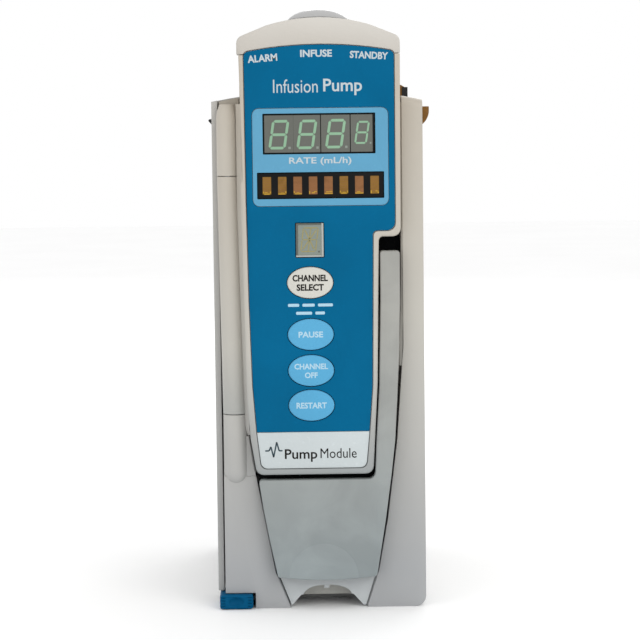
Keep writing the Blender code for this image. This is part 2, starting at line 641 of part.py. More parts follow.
# ---------------------------------------------------------------- pumping mechanism
def make_mechanism():
    flange_x = (CHANNEL_X - 11.5, CHANNEL_X + 11.5)
    frame = block("mechanism_frame", (-20, 20), (-45.1, -43.1), (70.5, 166), ALUMINIUM)
    fuse(
        frame,
        block("motor_flange", flange_x, (-44, 2), (71.0, 73.0)),
        block("lower_flange", flange_x, (-44, -16), (82.0, 84.0)),
        block("upper_flange", flange_x, (-44, -16), (156.0, 158.0)),
    )
    finger_high = FINGER_LOW_Z + FINGER_PITCH * (FINGER_COUNT - 1)
    window = (FINGER_LOW_Z - 4.5, finger_high + 4.5)
    motor_y = CAMSHAFT_Y + GEAR_MODULE * (GEAR_TEETH + PINION_TEETH) / 2
    cut(
        frame,
        block("frame_window", (CHANNEL_X - 3.3, CHANNEL_X + 3.3), (-50, -40), window),
        rod("lower_bearing_seat", (CHANNEL_X, CAMSHAFT_Y, 83), 5.3, 10),
        rod("upper_bearing_seat", (CHANNEL_X, CAMSHAFT_Y, 157), 5.3, 10),
        rod("motor_shaft_hole", (CHANNEL_X, motor_y, 72), 2.6, 10),
        rod("camshaft_clearance", (CHANNEL_X, CAMSHAFT_Y, 72), 3.0, 6),
    )
    for name, z in (("camshaft_bearing_lower", 83.0), ("camshaft_bearing_upper", 157.0)):
        bearing = rod(name, (CHANNEL_X, CAMSHAFT_Y, z), 5.0, 3.2, "Z", STEEL)
        cut(bearing, rod(name + "_bore", (CHANNEL_X, CAMSHAFT_Y, z), 2.3, 10))
    make_camshaft()
    make_motor(motor_y)
    make_fingers()
    membrane = extruded(
        "membrane_seal", rectangle(CHANNEL_X - 3.2, CHANNEL_X + 3.2, FINGER_LOW_Z - 7, finger_high + 7, 2),
        CHANNEL_BOTTOM - 0.8, CHANNEL_BOTTOM - 0.3, "Y", SILICONE,
    )
    return membrane


def make_camshaft():
    axis = pivot("camshaft_axis", CHANNEL_X, CAMSHAFT_Y, 115)
    shaft = rod("camshaft", (CHANNEL_X, CAMSHAFT_Y, 117), 2.0, 86, "Z", STEEL, 16)
    for i in range(FINGER_COUNT):
        angle = 2 * math.pi * i / FINGER_COUNT
        x = CHANNEL_X + CAM_THROW * math.cos(angle)
        y = CAMSHAFT_Y + CAM_THROW * math.sin(angle)
        fuse(shaft, rod(f"cam_{i + 1}", (x, y, FINGER_LOW_Z + FINGER_PITCH * i), CAM_RADIUS, 5.6, sides=20))
    outline = [(CHANNEL_X + u, CAMSHAFT_Y + v) for u, v in gear_outline(GEAR_TEETH, GEAR_MODULE)]
    gear = extruded("camshaft_gear", outline, GEAR_LOW_Z, GEAR_HIGH_Z, "Z", INNER_WHITE)
    cut(gear, rod("gear_bore", (CHANNEL_X, CAMSHAFT_Y, GEAR_LOW_Z), 2.3, 20, sides=16))
    carry(axis, shaft, gear)


def make_motor(motor_y):
    axis = pivot("motor_axis", CHANNEL_X, motor_y, 77)
    turn = math.pi / PINION_TEETH
    outline = []
    for u, v in gear_outline(PINION_TEETH, GEAR_MODULE):
        turned = Matrix.Rotation(turn, 2) @ Vector((u, v))
        outline.append((CHANNEL_X + turned.x, motor_y + turned.y))
    pinion = extruded("motor_pinion", outline, GEAR_LOW_Z - 0.3, GEAR_HIGH_Z + 0.3, "Z", BRASS)
    fuse(pinion, rod("motor_shaft", (CHANNEL_X, motor_y, 74.0), 1.0, 7.0, sides=12))
    carry(axis, pinion)
    motor = rod("motor", (CHANNEL_X, motor_y, (MOTOR_LOW_Z + MOTOR_HIGH_Z) / 2), MOTOR_RADIUS,
                MOTOR_HIGH_Z - MOTOR_LOW_Z, "Z", ALUMINIUM)
    softened(motor, 1.0, 1)


def make_fingers():
    for i in range(FINGER_COUNT):
        z = FINGER_LOW_Z + FINGER_PITCH * i
        slide = pivot(f"finger_slide_{i + 1}", CHANNEL_X, FINGER_TIP, z)
        name = f"pumping_finger_{i + 1}"
        x = (CHANNEL_X - 2.9, CHANNEL_X + 2.9)
        finger = block(name, x, (FINGER_TIP, FINGER_TAIL), (z - 2.9, z + 2.9), INNER_WHITE)
        softened(finger, 0.8, 1, lambda p: p.y < FINGER_TIP + 0.1)
        carry(slide, finger)


def fitment(name, half, z, mouth, look):
    """A block around the tube channel with a slot for the tube, in a pocket of the case's floor."""
    piece = block(name, (CHANNEL_X - half, CHANNEL_X + half), (FLOOR_FRONT + 0.2, -46.2), z, look)
    softened(piece, 0.5, 1)
    slot = (CHANNEL_X - mouth, CHANNEL_X + mouth)
    return cut(piece, block(name + "_slot", slot, (-80, CHANNEL_BOTTOM - 0.4), (z[0] - 5, z[1] + 5)))


def make_tube_path():
    fitment("air_sensor", 8.0, (57.0, 68.0), 3.3, BLACK_PLASTIC)
    fitment("clamp_receptacle", 11.0, (27.0, 46.0), 3.6, LATCH_BLUE)
    fitment("upper_fitment_receptacle", 9.0, (175.0, 188.0), 3.6, INNER_WHITE)
    for name, z in (("lower_pressure_sensor", 78.0), ("upper_pressure_sensor", 163.0)):
        pad = (CHANNEL_X, CHANNEL_BOTTOM - 0.55, z)
        rod(name, pad, 3.0, 0.5, "Y", STEEL, 24)
    rod("latch_striker", (26.5, -49.4, 135.2), 1.3, 7.6, "X", STEEL, 16)


# ---------------------------------------------------------------- electronics in the case
def make_boards():
    logic = block("logic_board", (-34, 34), (22.0, 23.6), (14, 146), BOARD_GREEN)
    fuse(
        logic,
        block("logic_chip", (-14, 8), (19.6, 22.5), (84, 106)),
        block("memory_chip", (-12, 2), (20.4, 22.5), (118, 128)),
        block("logic_socket", (14, 30), (16.0, 22.5), (60, 66)),
    )
    power = block("power_board", (-30, 30), (46.0, 47.6), (24, 120), BOARD_GREEN)
    fuse(
        power,
        block("transformer", (-22, -2), (34.0, 46.5), (40, 60)),
        rod("capacitor", (14, 39.5, 84), 6.0, 14, "Y", sides=20),
    )


# ---------------------------------------------------------------- door
def make_door():
    axis = pivot("door_hinge", HINGE_X, HINGE_Y, 120)
    shell = extruded("door_shell", door_outline(top=LENS_SEAM_Z), DOOR_FRONT, DOOR_BACK - 2.3, "Y", BEIGE)
    softened(shell, 1.3, 3, lambda p: p.y < DOOR_FRONT + 0.1 and p.z < LENS_SEAM_Z - 0.1)
    fuse(shell, extruded("door_apron", apron_outline(), DOOR_APRON_FRONT, DOOR_BACK - 2.3))
    add_door_knuckle(shell)
    # room behind the front wall for the display board, and a thinner one in the apron
    cut(shell, extruded("door_hollow", door_outline(2.0, top=LENS_SEAM_Z - 2), DOOR_INSIDE, DOOR_BACK + 5))
    cut(shell, extruded("apron_hollow", apron_outline(2.0), DOOR_APRON_FRONT + 2, DOOR_BACK + 5))
    cut_panel_openings(shell)
    cut_tube_exit(shell)
    add_handle_bearing(shell)
    backplate = make_backplate()
    lens, dome = make_head_lens()
    panel = make_front_panel()
    screens = make_screens()
    inside = make_door_inside()
    carry(axis, shell, backplate, lens, dome, *panel, *screens, *inside)
    make_keys(axis)
    return axis


def add_door_knuckle(shell):
    low_x, low_radius = barrel_at(KNUCKLE_LOW)
    high_x, high_radius = barrel_at(KNUCKLE_HIGH)
    middle = turned("door_knuckle", [(low_x, low_radius, KNUCKLE_LOW), (high_x, high_radius, KNUCKLE_HIGH)])
    web_y = (HINGE_Y - 2.2, HINGE_Y + 2.4)
    web = block("door_knuckle_web", (-33.0, -27.0), web_y, (KNUCKLE_LOW, KNUCKLE_HIGH))
    fuse(shell, middle, web)
    cut(shell, rod("door_hinge_bore", (HINGE_X, HINGE_Y, 120), 1.8, 100, sides=20))


def cut_panel_openings(shell):
    cut(shell, extruded("panel_pocket", panel_outline(), DOOR_FRONT - 5, PANEL_FLOOR))
    cut(shell, block("display_opening", (-24.2, 24.8), (-90, -60), (154.8, 188.2)))
    cut(shell, block("channel_opening", (-10.0, 2.1), (-90, -60), (133.0, 147.4)))
    for name, z in KEY_ROWS.items():
        oval = ellipse(KEY_X, z, KEY_HALF_WIDTH + 0.5, KEY_HALF_HEIGHT + 0.4)
        cut(shell, extruded(name + "_hole", oval, -90, -60))


def cut_tube_exit(shell):
    arch = ellipse(1.3, EXIT_TOP - 0.1, 9.2, 3.8, 32)
    cut(
        shell,
        extruded("exit_notch", exit_outline(EXIT_TOP), -90, -40),
        extruded("exit_arch", arch, -90, -40),
    )
    tab_y = (DOOR_APRON_FRONT + 0.3, DOOR_APRON_FRONT + 1.8)
    fuse(shell, block("exit_tab", (0.0, 2.0), tab_y, (EXIT_TOP + 2.4, EXIT_TOP + 5.0)))


def add_handle_bearing(shell):
    """The boss inside the door's right wall that the handle's pin is pressed through."""
    place = (18.4, HANDLE_PIVOT_Y, HANDLE_PIVOT_Z)
    fuse(shell, rod("handle_bearing", place, 3.2, 6.0, "X", sides=24))
    cut(shell, rod("handle_bearing_bore", (22.0, *place[1:]), 1.5, 11.0, "X", sides=16))


def make_backplate():
    outline = leaf_outline(0.4, LENS_SEAM_Z - 1)
    plate = extruded("door_backplate", outline, DOOR_BACK - 2.0, DOOR_BACK, "Y", INNER_WHITE)
    exit_cutter = extruded("backplate_exit", exit_outline(EXIT_TOP - 1.4), -60, -40)
    return cut(plate, block("platen_window", (-4.8, 8.0), (-60, -40), (85.7, 154.3)), exit_cutter)


def make_head_lens():
    """The pale cap over the head that the status lamps shine through, and the clear dome on top of it."""
    outline = [(u, v) for u, v in door_outline() if v > LENS_SEAM_Z + 1]
    outline = [(30.25, LENS_SEAM_Z + GAP), *outline, (-30.3, LENS_SEAM_Z + GAP)]
    lens = extruded("status_lens", outline, DOOR_FRONT, DOOR_BACK, "Y", LENS_WHITE)
    softened(lens, 3.4, 4, lambda p: p.y < DOOR_FRONT + 0.1 and p.z > LENS_SEAM_Z + 1)
    hollow = [(u, v) for u, v in door_outline(2.2) if v > LENS_SEAM_Z + 1]
    hollow = [(28.0, LENS_SEAM_Z - 3), *hollow, (-28.0, LENS_SEAM_Z - 3)]
    cut(lens, extruded("lens_hollow", hollow, DOOR_INSIDE, DOOR_BACK - 2.2))
    cut(lens, extruded("lens_panel_pocket", panel_outline(), DOOR_FRONT - 5, PANEL_FLOOR))
    dome = ball("status_dome", (0.3, -60.5, 219.6), (12.4, 6.2, TOTAL_HEIGHT - 219.6), DOME_GREY, 16, 32)
    crown = bowed((30.3, HEAD_SHOULDER_Z), (-30.3, HEAD_SHOULDER_Z), -HEAD_CROWN, 32)
    seat = [(28, 200), *[(u, v + 0.25) for u, v in crown], (-28, 200)]
    cut(dome, extruded("dome_seat", seat, -90, -30))
    return lens, dome


def make_front_panel():
    """The blue keypad overlay, the light-blue display surround in it, and the pale plate below."""
    front, back = PANEL_FLOOR - 0.8, PANEL_FLOOR - 0.3
    upper_part = panel_outline(GAP, low=PLATE_TOP + 0.1)
    overlay = extruded("keypad_overlay", upper_part, front, back, "Y", PANEL_BLUE)
    for name, z in KEY_ROWS.items():
        hole = ellipse(KEY_X, z, KEY_HALF_WIDTH + 0.25, KEY_HALF_HEIGHT + 0.25)
        cut(overlay, extruded(name + "_overlay_hole", hole, -90, -60))
    surround_hole = around(SURROUND_X, SURROUND_Z, 0.2, 2.6)
    cut(overlay, extruded("surround_hole", surround_hole, -90, -60))
    cut(overlay, extruded("channel_hole", around(CHANNEL_WINDOW_X, CHANNEL_WINDOW_Z, GAP, 0.5), -90, -60))
    outline = around(SURROUND_X, SURROUND_Z, 0.0, 2.4)
    surround = extruded("display_surround", outline, front, back, "Y", LIGHT_BLUE)
    cut(surround, extruded("rate_window", around(RATE_X, RATE_Z, GAP, 0.3), -90, -60))
    cut(surround, extruded("message_window", around(MESSAGE_X, MESSAGE_Z, GAP, 0.3), -90, -60))
    plate = extruded("name_plate", plate_outline(0.3), front, back, "Y", PLATE_WHITE)
    return overlay, surround, plate


def make_screens():
    back = BOARD_FRONT - GAP
    depth = (PANEL_FLOOR - 0.4, back)
    rate = block("rate_display", RATE_X, depth, RATE_Z, SCREEN_GREY)
    message = block("message_display", MESSAGE_X, depth, MESSAGE_Z, SCREEN_BLACK)
    channel = block("channel_display", CHANNEL_WINDOW_X, depth, CHANNEL_WINDOW_Z, WINDOW_GREY)
    return rate, message, channel


def make_door_inside():
    outline = door_outline(2.5, top=LENS_SEAM_Z - 3)
    board = extruded("display_board", outline, BOARD_FRONT, BOARD_FRONT + 1.6, "Y", BOARD_GREEN)
    cut(board, block("handle_bearing_relief", (14.5, 40), (-80, -50), (-5, 147)))
    cut(board, block("board_foot_relief", (-40, 40), (-80, -50), (-5, 56)))
    platen = block("platen", (-4.5, 7.7), (-56.0, -53.1), (86.0, 154.0), ALUMINIUM)
    softened(platen, 0.6, 1)
    slide = pivot("platen_slide", CHANNEL_X, -54.5, 120)
    springs = [
        coil(f"platen_spring_{place}", (CHANNEL_X, z), 2.6, 0.3, BOARD_FRONT + 1.9, -56.3, 4, STEEL)
        for place, z in (("lower", 98.0), ("upper", 142.0))
    ]
    pin = rod("handle_pin", (22.6, HANDLE_PIVOT_Y, HANDLE_PIVOT_Z), 1.2, 11.6, "X", STEEL, 16)
    rod("hinge_pin", (HINGE_X, HINGE_Y, 120), 1.5, 138, "Z", STEEL, 20)
    carry(slide, platen)
    return board, pin, slide, *springs


def make_keys(door_axis):
    for name, z in KEY_ROWS.items():
        slide = pivot(name + "_slide", KEY_X, KEY_FRONT, z)
        carry(door_axis, slide)
        look = KEY_WHITE if name == "key_select" else KEY_BLUE
        oval = ellipse(KEY_X, z, KEY_HALF_WIDTH, KEY_HALF_HEIGHT, 40)
        key = extruded(name, oval, KEY_FRONT, KEY_BACK, "Y", look)
        softened(key, 0.7, 2, lambda p: p.y < KEY_FRONT + 0.1)
        bpy.context.view_layer.update()
        carry(slide, key)


def make_handle(door_axis):
    axis = pivot("handle_axis", 26.0, HANDLE_PIVOT_Y, HANDLE_PIVOT_Z)
    carry(door_axis, axis)
    bpy.context.view_layer.update()
    handle = extruded("handle", handle_outline(), HANDLE_FRONT, HANDLE_BACK, "Y", HANDLE_GREY)
    softened(handle, 0.6, 2)
    # the thumb scoop in the grip's lower edge
    cut(handle, ball("thumb_scoop", (1.4, HANDLE_FRONT - 5.4, 10.4), (15.5, 6.2, 14.5), rings=20, sides=40))
    # the boss that turns on the handle's pin, behind the arm
    boss = rod("handle_boss", (25.4, HANDLE_PIVOT_Y, HANDLE_PIVOT_Z), 3.0, 5.0, "X", sides=24)
    neck = block("boss_neck", (22.9, 27.9), (HANDLE_BACK - 1.5, HANDLE_PIVOT_Y), (128.6, 134.4))
    fuse(handle, neck, boss)
    cut(handle, rod("handle_pin_hole", (25.4, HANDLE_PIVOT_Y, HANDLE_PIVOT_Z), 1.5, 12, "X", sides=16))
    # the hook passes under the striker; it is bolted to the boss from behind
    hook_outline = filleted([
        (-58.3, 126.8, 0.4), (-48.8, 128.8, 0.8), (-47.7, 133.4, 0.8),
        (-51.2, 133.4, 0.4), (-51.8, 131.6, 0.4), (-58.3, 131.6, 0.4),
    ])
    hook = extruded("latch_hook", hook_outline, 24.2, 26.6, "X", STEEL)
    carry(axis, handle, hook)


clear_scene()
MODEL = new_collection("infusion_pump_module")
CUTTERS = new_collection("cutters")
make_front_case()
make_rear_case()
make_release_latch()
make_connectors()
make_mechanism()
make_tube_path()
make_boards()
make_handle(make_door())
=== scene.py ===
"""The looks of a single-channel infusion pump module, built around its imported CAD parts.

Lengths are in millimetres unless a line says otherwise, in the part's own frame:
+Z up, the front faces -Y, +X is the user's right.
"""

import json
import math

import bmesh
import bpy
from mathutils import Matrix, Vector

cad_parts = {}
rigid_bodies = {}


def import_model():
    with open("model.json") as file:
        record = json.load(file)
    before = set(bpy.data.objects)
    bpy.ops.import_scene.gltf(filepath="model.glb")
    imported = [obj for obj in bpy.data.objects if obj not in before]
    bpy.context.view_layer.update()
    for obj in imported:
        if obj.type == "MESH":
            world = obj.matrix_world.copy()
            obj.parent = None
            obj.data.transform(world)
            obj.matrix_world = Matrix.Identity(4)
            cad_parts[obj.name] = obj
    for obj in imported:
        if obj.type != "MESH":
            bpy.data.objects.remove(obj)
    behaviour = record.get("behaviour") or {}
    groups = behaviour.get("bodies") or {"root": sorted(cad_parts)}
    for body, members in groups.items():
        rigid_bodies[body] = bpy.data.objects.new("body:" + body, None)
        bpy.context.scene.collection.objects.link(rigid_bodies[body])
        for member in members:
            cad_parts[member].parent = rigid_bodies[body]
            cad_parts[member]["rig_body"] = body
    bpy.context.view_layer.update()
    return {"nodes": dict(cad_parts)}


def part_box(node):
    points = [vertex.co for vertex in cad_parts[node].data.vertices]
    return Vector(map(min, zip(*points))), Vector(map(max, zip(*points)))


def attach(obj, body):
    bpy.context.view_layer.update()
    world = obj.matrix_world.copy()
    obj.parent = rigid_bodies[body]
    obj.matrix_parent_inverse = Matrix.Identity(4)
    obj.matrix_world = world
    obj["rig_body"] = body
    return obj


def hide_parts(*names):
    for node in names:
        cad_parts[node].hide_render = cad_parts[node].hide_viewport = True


MM = 0.001

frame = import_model()
NODES = frame["nodes"]


def span(node):
    """The low and the high corner of a CAD node, in millimetres."""
    low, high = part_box(node)
    return low / MM, high / MM


# ---------------------------------------------------------------- materials
STUDIO = 0.86  # how much darker a surface is painted than it shows under the studio light
ROUNDING = 0.3  # the radius that light sees along a moulding's edges
SCOOP_LEVEL, SCOOP_RADIUS = 12.6, 13.1  # the thumb scoop's centre height and its radius


def srgb(red, green, blue):
    """A display colour, 0 to 255, as the linear one that shaders use."""
    values = []
    for value in (red, green, blue):
        value /= 255
        values.append(STUDIO * (value / 12.92 if value <= 0.04045 else ((value + 0.055) / 1.055) ** 2.4))
    return tuple(values)


def scaled(colour, factor):
    return tuple(min(1.0, channel * factor) for channel in colour)


class Nodes:
    """Builds one procedural material around its Principled BSDF."""

    def __init__(self, name, roughness, metallic=0.0, specular=0.4, coat=0.0):
        self.material = bpy.data.materials.new(name)
        self.material.use_nodes = True
        self.tree = self.material.node_tree
        self.shader = self.tree.nodes["Principled BSDF"]
        self.put("Roughness", roughness)
        self.put("Metallic", metallic)
        self.put("Specular IOR Level", specular)
        self.put("Coat Weight", coat)
        self.place = self.node("ShaderNodeTexCoord").outputs["Object"]

    def put(self, socket, value):
        self.shader.inputs[socket].default_value = value

    def node(self, kind, **settings):
        made = self.tree.nodes.new(kind)
        for key, value in settings.items():
            setattr(made, key, value)
        return made

    def link(self, output, target):
        self.tree.links.new(output, target)

    def stretched(self, scale):
        mapping = self.node("ShaderNodeMapping")
        mapping.inputs["Scale"].default_value = scale
        self.link(self.place, mapping.inputs["Vector"])
        return mapping.outputs["Vector"]

    def noise(self, scale, detail, where=None, distortion=0.0):
        """Noise with `scale` lumps to the metre."""
        noise = self.node("ShaderNodeTexNoise")
        noise.inputs["Scale"].default_value = scale
        noise.inputs["Detail"].default_value = detail
        noise.inputs["Distortion"].default_value = distortion
        self.link(where or self.place, noise.inputs["Vector"])
        return noise.outputs["Fac"]

    def ranged(self, value, low, high, to_low, to_high):
        node = self.node("ShaderNodeMapRange")
        limits = {"From Min": low, "From Max": high, "To Min": to_low, "To Max": to_high}
        for socket, number in limits.items():
            node.inputs[socket].default_value = number
        self.link(value, node.inputs["Value"])
        return node.outputs["Result"]

    def mixed(self, factor, first, second, kind="MIX"):
        node = self.node("ShaderNodeMix", data_type="RGBA", blend_type=kind)
        for socket, value in ((0, factor), (6, first), (7, second)):
            if isinstance(value, bpy.types.NodeSocket):
                self.link(value, node.inputs[socket])
            elif isinstance(value, tuple):
                node.inputs[socket].default_value = (*value, 1)
            else:
                node.inputs[socket].default_value = value
        return node.outputs[2]

    def height(self, low, high):
        """0 at a low height and 1 at a high one, smoothly, in millimetres."""
        parts = self.node("ShaderNodeSeparateXYZ")
        self.link(self.place, parts.inputs["Vector"])
        return self.ranged(parts.outputs["Z"], low * MM, high * MM, 0.0, 1.0)

    def graded(self, stops):
        """A colour that changes with height. A stop is (its height in millimetres, its colour)."""
        low, high = stops[0][0], stops[-1][0]
        ramp = self.node("ShaderNodeValToRGB")
        elements = ramp.color_ramp.elements
        while len(elements) < len(stops):
            elements.new(0.5)
        for element, (level, colour) in zip(elements, stops):
            element.position = (level - low) / (high - low)
            element.color = (*colour, 1)
        self.link(self.height(low, high), ramp.inputs["Fac"])
        return ramp.outputs["Color"]

    def worn(self, colour, lighter, amount):
        """Edges rubbed to a lighter colour."""
        point = self.node("ShaderNodeNewGeometry").outputs["Pointiness"]
        edge = self.ranged(point, 0.52, 0.60, 0.0, amount)
        broken = self.ranged(self.noise(420, 4), 0.42, 0.62, 0.0, 1.0)
        factor = self.node("ShaderNodeMath", operation="MULTIPLY")
        self.link(edge, factor.inputs[0])
        self.link(broken, factor.inputs[1])
        return self.mixed(factor.outputs[0], colour, lighter)

    def rounded(self, radius):
        """Normals that turn softly across sharp edges."""
        node = self.node("ShaderNodeBevel", samples=6)
        node.inputs["Radius"].default_value = radius * MM
        return node.outputs["Normal"]

    def bump(self, value, depth, strength, after=None):
        """Normals that follow a value as relief, its depth in millimetres."""
        node = self.node("ShaderNodeBump")
        node.inputs["Distance"].default_value = depth * MM
        node.inputs["Strength"].default_value = strength
        self.link(value, node.inputs["Height"])
        if after:
            self.link(after, node.inputs["Normal"])
        return node.outputs["Normal"]

    def done(self, colour, normal, roughness=None):
        self.link(colour, self.shader.inputs["Base Color"])
        self.link(normal, self.shader.inputs["Normal"])
        if roughness:
            self.link(roughness, self.shader.inputs["Roughness"])
        return self.material


def moulded(name, colour, stops, roughness, mottle, grain=0.012, pitch=2200, specular=0.3, coat=0.0,
            wear=0.2, dust=0.025):
    """Injection-moulded plastic: spark-eroded grain, slow colour drift, faint dust, rubbed edges, and,
    where stops are given, painted light and shade that change with height.
    """
    m = Nodes(name, roughness, 0.0, specular, coat)
    base = m.graded(stops) if stops else colour
    drift = m.ranged(m.noise(26, 3), 0.3, 0.7, 0.0, 1.0)
    base = m.mixed(drift, base, m.mixed(1.0, base, scaled((1, 1, 1), 1 - mottle), "MULTIPLY"))
    cloud = m.ranged(m.noise(90, 5, distortion=0.6), 0.52, 0.75, 0.0, dust)
    base = m.mixed(cloud, base, srgb(150, 142, 130))
    base = m.worn(base, scaled(colour, 1.25), wear)
    grainy = m.noise(pitch, 2)
    uneven = m.bump(m.noise(45, 2), 0.05, 0.2, m.rounded(ROUNDING))
    rough = m.ranged(m.noise(70, 4), 0.3, 0.7, roughness - 0.06, roughness + 0.08)
    return m.done(base, m.bump(grainy, grain, 0.6, uneven), rough)


def pull_handle(name, high, low):
    """The door handle's cloudy grey plastic, painted lighter towards the top, with a shallow round thumb
    scoop in its lower end that is dented by bump and painted lighter inside as painted light.
    """
    m = Nodes(name, 0.45, 0.0, 0.25)
    # painted light: the handle is lighter and warmer towards the top, cooler and darker towards its foot
    base = m.mixed(m.height(15, 110), low, high)
    cloud = m.ranged(m.noise(38, 5, distortion=1.2), 0.38, 0.66, 0.0, 1.0)
    base = m.mixed(cloud, base, m.mixed(1.0, base, (0.86, 0.86, 0.86), "MULTIPLY"))
    reach = m.node("ShaderNodeVectorMath", operation="DISTANCE")
    m.link(m.stretched((1, 0, 1)), reach.inputs[0])
    reach.inputs[1].default_value = (0.0, 0.0, SCOOP_LEVEL * MM)
    inner, outer = (SCOOP_RADIUS - 0.2) * MM, (SCOOP_RADIUS + 0.2) * MM
    inside = m.ranged(reach.outputs["Value"], inner, outer, 1.0, 0.0)
    # painted light: the colour inside the scoop is made lighter, as if the dish caught more light
    scoop_painted_light = m.mixed(1.0, base, (1.22, 1.22, 1.22), "MULTIPLY")
    base = m.mixed(m.ranged(inside, 0.0, 1.0, 0.0, 0.30), base, scoop_painted_light)
    dish = m.bump(inside, -0.12, 0.5, m.rounded(ROUNDING))
    rough = m.ranged(m.noise(70, 4), 0.3, 0.7, 0.38, 0.52)
    return m.done(base, m.bump(m.noise(1800, 2), 0.02, 0.6, dish), rough)


def lamp_cap(name, low, high):
    """The frosted cap over the lamps, painted lighter towards its crown and in soft patches as painted
    light.
    """
    m = Nodes(name, 0.35, 0.0, 0.3, 0.05)
    # painted light: soft lighter patches, and a colour that gets lighter towards the crown
    painted_glow = m.ranged(m.noise(30, 2), 0.35, 0.65, 0.0, 0.35)
    base = m.mixed(m.height(low, high), srgb(190, 184, 175), srgb(216, 212, 205))
    base = m.mixed(painted_glow, base, srgb(216, 213, 207))
    frost = m.bump(m.noise(2600, 2), 0.006, 0.5, m.rounded(2 * ROUNDING))
    return m.done(base, frost, m.ranged(m.noise(80, 3), 0.3, 0.7, 0.3, 0.42))


def printed(name, colour, roughness, specular, mottle, dots=5200, coat=0.0):
    """A screen-printed polyester overlay or ink: fine stipple and slow drift."""
    m = Nodes(name, roughness, 0.0, specular, coat)
    drift = m.ranged(m.noise(40, 4, distortion=0.4), 0.3, 0.7, 0.0, 1.0)
    base = m.mixed(drift, scaled(colour, 1 - mottle), scaled(colour, 1 + mottle))
    speck = m.ranged(m.noise(900, 2), 0.60, 0.72, 0.0, 0.10)
    base = m.mixed(speck, base, scaled(colour, 1.5))
    rough = m.ranged(m.noise(120, 3), 0.3, 0.7, roughness - 0.05, roughness + 0.05)
    return m.done(base, m.bump(m.noise(dots, 1), 0.004, 0.5), rough)


def metal(name, colour, roughness, along, grime=0.25):
    """Machined or brushed metal, with lines along the axis whose scale is small."""
    m = Nodes(name, roughness, 1.0, 0.5)
    lines = m.noise(1500, 3, m.stretched(along))
    base = m.mixed(m.ranged(lines, 0.3, 0.7, 0.0, 1.0), scaled(colour, 0.82), colour)
    stain = m.ranged(m.noise(160, 4, distortion=0.8), 0.5, 0.75, 0.0, grime)
    base = m.mixed(stain, base, scaled(colour, 0.45))
    rough = m.ranged(lines, 0.3, 0.7, roughness - 0.08, roughness + 0.12)
    return m.done(base, m.bump(lines, 0.006, 0.5), rough)


def circuit(name):
    """Green solder resist with traces and tinned pads."""
    m = Nodes(name, 0.4, 0.0, 0.5)
    board = srgb(18, 84, 52)
    bricks = m.node("ShaderNodeTexBrick", offset=0.4, squash=0.7)
    bricks.inputs["Scale"].default_value = 420
    bricks.inputs["Mortar Size"].default_value = 0.012
    turned = m.node("ShaderNodeMapping")
    turned.inputs["Rotation"].default_value = (math.radians(90), 0, 0)
    m.link(m.place, turned.inputs["Vector"])
    m.link(turned.outputs["Vector"], bricks.inputs["Vector"])
    for socket, shade in (("Color1", 1.0), ("Color2", 0.85), ("Mortar", 1.9)):
        bricks.inputs[socket].default_value = (*scaled(board, shade), 1)
    pads = m.node("ShaderNodeTexVoronoi")
    pads.inputs["Scale"].default_value = 260
    m.link(m.place, pads.inputs["Vector"])
    pad = m.ranged(pads.outputs["Distance"], 0.16, 0.19, 1.0, 0.0)
    base = m.mixed(pad, bricks.outputs["Color"], srgb(196, 190, 176))
    return m.done(base, m.bump(bricks.outputs["Fac"], 0.03, 0.6))


